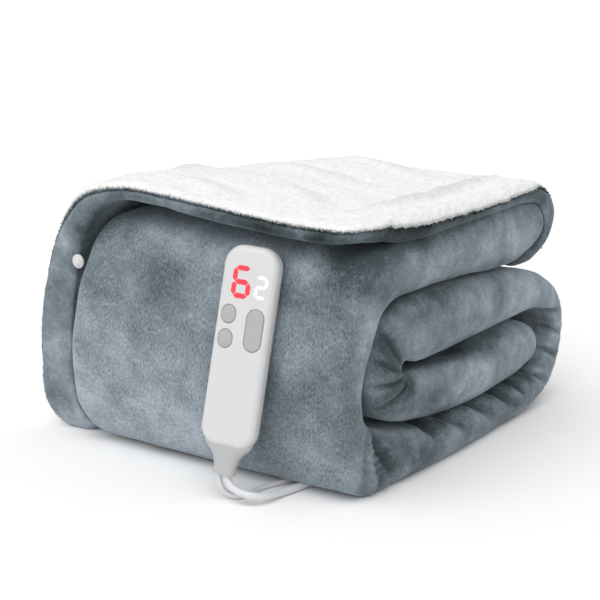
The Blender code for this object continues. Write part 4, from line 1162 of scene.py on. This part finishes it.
def shell_half(name, seam, depth_at, rounding):
    """Half of the case: its outline carried from the seam to the face, round at the face's rim,
    and closed at both ends by rings that shrink to the middle line."""
    outline = body_outline()
    middle = middle_of(outline, (BODY_LENGTH - BODY_WIDTH) / 2)
    towards = math.copysign(1, depth_at(0.0, 0.0) - seam)
    distance = np.linalg.norm(outline - middle, axis=1, keepdims=True)
    out = unit(outline - middle)
    at_seam = [(distance * share, seam) for share in np.linspace(0, 1, 7)[:-1]]
    at_seam += [(distance - SEAM_BEVEL, seam), (distance, seam + towards * SEAM_BEVEL)]
    rings = [ring_at(middle + out * reach, y) for reach, y in at_seam]
    for turn in np.linspace(0, np.pi / 2, 12):  # the rounded rim
        xz = middle + out * (distance - rounding * (1 - np.cos(turn)))
        rings.append(ring_at(xz, depth_at(*xz.T) - towards * rounding * (1 - np.sin(turn))))
    for share in np.linspace(1, 0, 14)[1:]:  # over the face
        xz = middle + out * (distance - rounding) * share
        rings.append(ring_at(xz, depth_at(*xz.T)))
    return outwards(grid_piece(name, placed(np.array(rings)), (False, True)))


def stadium_body(name, x, z, width, length, rows):
    """A plate whose outline is two half circles a straight length apart: rings at the rows'
    insets and depths, closed to its middle line."""
    straight = max(length - width, 0) / 2
    turn = np.linspace(0, np.pi, 24)
    top = joined(width / 2 * np.cos(turn), straight + width / 2 * np.sin(turn))
    outline = np.concatenate([top, -top])
    middle = middle_of(outline, straight)
    shares = [max(0.0, 1 - 2 * inset / width) for inset, _ in rows]
    rings = [ring_at((x, z) + middle + (outline - middle) * share, y)
             for share, (_, y) in zip(shares, rows)]
    return outwards(grid_piece(name, placed(np.array(rings)), (False, True)))


def bake_modifiers(obj):
    """Puts what the modifiers make into the mesh, and takes the modifiers off."""
    view = bpy.context.evaluated_depsgraph_get()
    view.update()
    made = bpy.data.meshes.new_from_object(obj.evaluated_get(view))
    obj.modifiers.clear()
    old = obj.data
    obj.data = made
    bpy.data.meshes.remove(old)


class BLANKET_OT_controller(bpy.types.Operator):
    """Makes the controller's two shells, with wells for its buttons"""
    bl_idname = "blanket.controller"
    bl_label = "Controller shells"

    def execute(self, context):
        front = shell_half("shell_front", SEAM_Y - SEAM_GAP / 2, face_y, FACE_ROUND)
        back = shell_half("shell_back", SEAM_Y + SEAM_GAP / 2, lambda x, z: BODY_DEPTH / 2,
                          BACK_ROUND)
        near, deep = -BODY_DEPTH / 2 - 3, -BODY_DEPTH / 2 + WELL_DEPTH
        for node_name, (_, x, z, width, length) in BUTTONS.items():
            rows = (width, near), (0, near), (0, deep), (width, deep)
            well = stadium_body(node_name + "_well", x, z, width + 2 * BUTTON_GAP,
                                length + 2 * BUTTON_GAP, rows)
            cut = front.modifiers.new(node_name, "BOOLEAN")
            cut.operation, cut.solver, cut.object = "DIFFERENCE", "EXACT", well
            bake_modifiers(front)
            bpy.data.objects.remove(well)
        front.data.set_sharp_from_angle(angle=math.radians(35))
        for half, name in ((front, "controller_front"), (back, "controller_back")):
            keep(half, moulded_finish("shell"), "blanket", "white_plastic", name)
        return {"FINISHED"}


class BLANKET_OT_buttons(bpy.types.Operator):
    """Makes the three buttons, softly domed, each on its own body"""
    bl_idname = "blanket.buttons"
    bl_label = "Buttons"

    def execute(self, context):
        front = -BODY_DEPTH / 2 - BUTTON_PROUD
        for node_name, (body, x, z, width, length) in BUTTONS.items():
            rows = [(width / 2, front + BUTTON_TALL), (0, front + BUTTON_TALL)]
            rows += [(BUTTON_ROUND * (1 - math.cos(turn)),
                      front + BUTTON_ROUND * (1 - math.sin(turn)) + BUTTON_DOME)
                     for turn in np.linspace(0, np.pi / 2, 7)]
            rows += [(BUTTON_ROUND + (width / 2 - BUTTON_ROUND) * k,
                      front + BUTTON_DOME * (1 - math.sin(k * math.pi / 2)))
                     for k in np.linspace(0, 1, 9)[1:]]
            piece = stadium_body("cap_" + node_name, x, z, width, length, rows)
            keep(piece, moulded_finish("button"), body, "grey_button", node_name)
        return {"FINISHED"}


def digit_piece(name, bars, left, low, width, height, stroke):
    """Bars with pointed ends, each a thin plate that lies on the controller's face."""
    points, faces = [], []
    half = stroke / 2
    for k, bar in enumerate(bars):
        places = np.array(SEGMENTS[bar]) * (width - stroke, height - stroke)
        start, end = places + (left + half, low + half)
        way = unit(end - start)
        across = np.array((-way[1], way[0]))
        start, end = start + way * BAR_GAP, end - way * BAR_GAP
        outline = np.array([start, start + (way + across) * half, end + (across - way) * half, end,
                            end - (way + across) * half, start + (way - across) * half])
        points += [ring_at(outline, face_y(*outline.T) + depth) for depth in BAR_DEPTHS]
        corner = 12 * k + np.arange(6)
        after = 12 * k + np.roll(np.arange(6), -1)
        faces += [(corner + 6).tolist(), corner[::-1].tolist()]
        faces += joined(corner, after, after + 6, corner + 6).tolist()
    made = mesh_of(name, placed(np.concatenate(points)), faces)
    made.data.shade_flat()
    return outwards(made, merge=False)


class BLANKET_OT_digits(bpy.types.Operator):
    """Makes the two digits of the display"""
    bl_idname = "blanket.digits"
    bl_label = "Display digits"

    def execute(self, context):
        s = context.scene.blanket_hard
        for (name, row), tint, glow in zip(DIGITS.items(), (s.lit, s.pale), (0.28, 0.3)):
            keep(digit_piece(name, *row), digit_finish(name + "_segments", tint, glow),
                 "blanket", "white_plastic")
        return {"FINISHED"}


class BLANKET_OT_boot(bpy.types.Operator):
    """Makes the flared boot under the controller"""
    bl_idname = "blanket.boot"
    bl_label = "Boot"

    def execute(self, context):
        rows = np.array(BOOT_ROWS)
        first, last = rows[0, 0], rows[-1, 0]
        at = np.concatenate([[first, first], np.linspace(first, last, 30), [last, last]])
        shrink = np.array([0, 0.94] + [1] * 30 + [0.9, 0])[:, None]
        wide, deep = (smooth(rows[:, 1:], rows[:, 0], at) * shrink).T[..., None]
        x, y = (np.sign(part) * np.abs(part) ** 0.75 for part in turned_ring(72))
        grid = joined(wide * x, deep * y, -BODY_LENGTH / 2 - BOOT_GAP - at[:, None])
        piece = outwards(grid_piece("flared_boot", placed(grid), (False, True)))
        piece.data.set_sharp_from_angle(angle=math.radians(50))
        keep(piece, moulded_finish("boot"), "blanket", "boot_grey", "cord_boot")
        return {"FINISHED"}


class BLANKET_OT_snap(bpy.types.Operator):
    """Makes the white press stud on the hanging edge"""
    bl_idname = "blanket.snap"
    bl_label = "Press stud"

    def execute(self, context):
        radius, out = np.array(SNAP_ROWS).T[..., None]
        across, up = turned_ring(40)
        grid = joined(radius * across, -out, radius * up) + SNAP_AT
        piece = outwards(grid_piece("press_stud", grid, (False, True)))
        keep(piece, moulded_finish("shell"), "blanket", "white_plastic", "snap_button")
        return {"FINISHED"}


class BLANKET_OT_plug(bpy.types.Operator):
    """Finishes the plug, its blades and the inlet under the bundle"""
    bl_idname = "blanket.plug"
    bl_label = "Plug and inlet"

    def execute(self, context):
        metal = metal_finish()
        for name, material in (("plug_body", moulded_finish("cord")), ("plug_blade_left", metal),
                               ("plug_blade_right", metal), ("lead_inlet", moulded_finish("boot"))):
            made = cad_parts[name]
            made.data.materials.clear()
            made.data.materials.append(material)
        return {"FINISHED"}


class BLANKET_PT_panel(bpy.types.Panel):
    """Lists the pieces, in the order in which they are made"""
    bl_label = "Electric heated blanket"
    bl_idname = "BLANKET_PT_panel"
    bl_space_type = "VIEW_3D"
    bl_region_type = "UI"
    bl_category = "Blanket"

    def draw(self, context):
        for setting in SETTINGS:
            group, box = getattr(context.scene, setting), self.layout.box()
            for name in group.__annotations__:
                box.prop(group, name)
        for operator in OPERATORS:
            self.layout.operator(operator.bl_idname)


SETTINGS = {"blanket_stage": StageSettings, "blanket_cloth": ClothSettings,
            "blanket_hard": HardSettings}
OPERATORS = (BLANKET_OT_stage, BLANKET_OT_leads, BLANKET_OT_band, BLANKET_OT_top_layer,
             BLANKET_OT_lining, BLANKET_OT_hem_tufts, BLANKET_OT_controller, BLANKET_OT_buttons,
             BLANKET_OT_digits, BLANKET_OT_boot, BLANKET_OT_snap, BLANKET_OT_plug)


def register():
    for kind in (*SETTINGS.values(), *OPERATORS, BLANKET_PT_panel):
        bpy.utils.register_class(kind)
    for name, kind in SETTINGS.items():
        setattr(bpy.types.Scene, name, PointerProperty(type=kind))


def unregister():
    for name in SETTINGS:
        delattr(bpy.types.Scene, name)
    for kind in reversed((*SETTINGS.values(), *OPERATORS, BLANKET_PT_panel)):
        bpy.utils.unregister_class(kind)


def main():
    register()
    for operator in OPERATORS:
        group, name = operator.bl_idname.split(".")
        getattr(getattr(bpy.ops, group), name)()


if __name__ == "__main__":
    main()
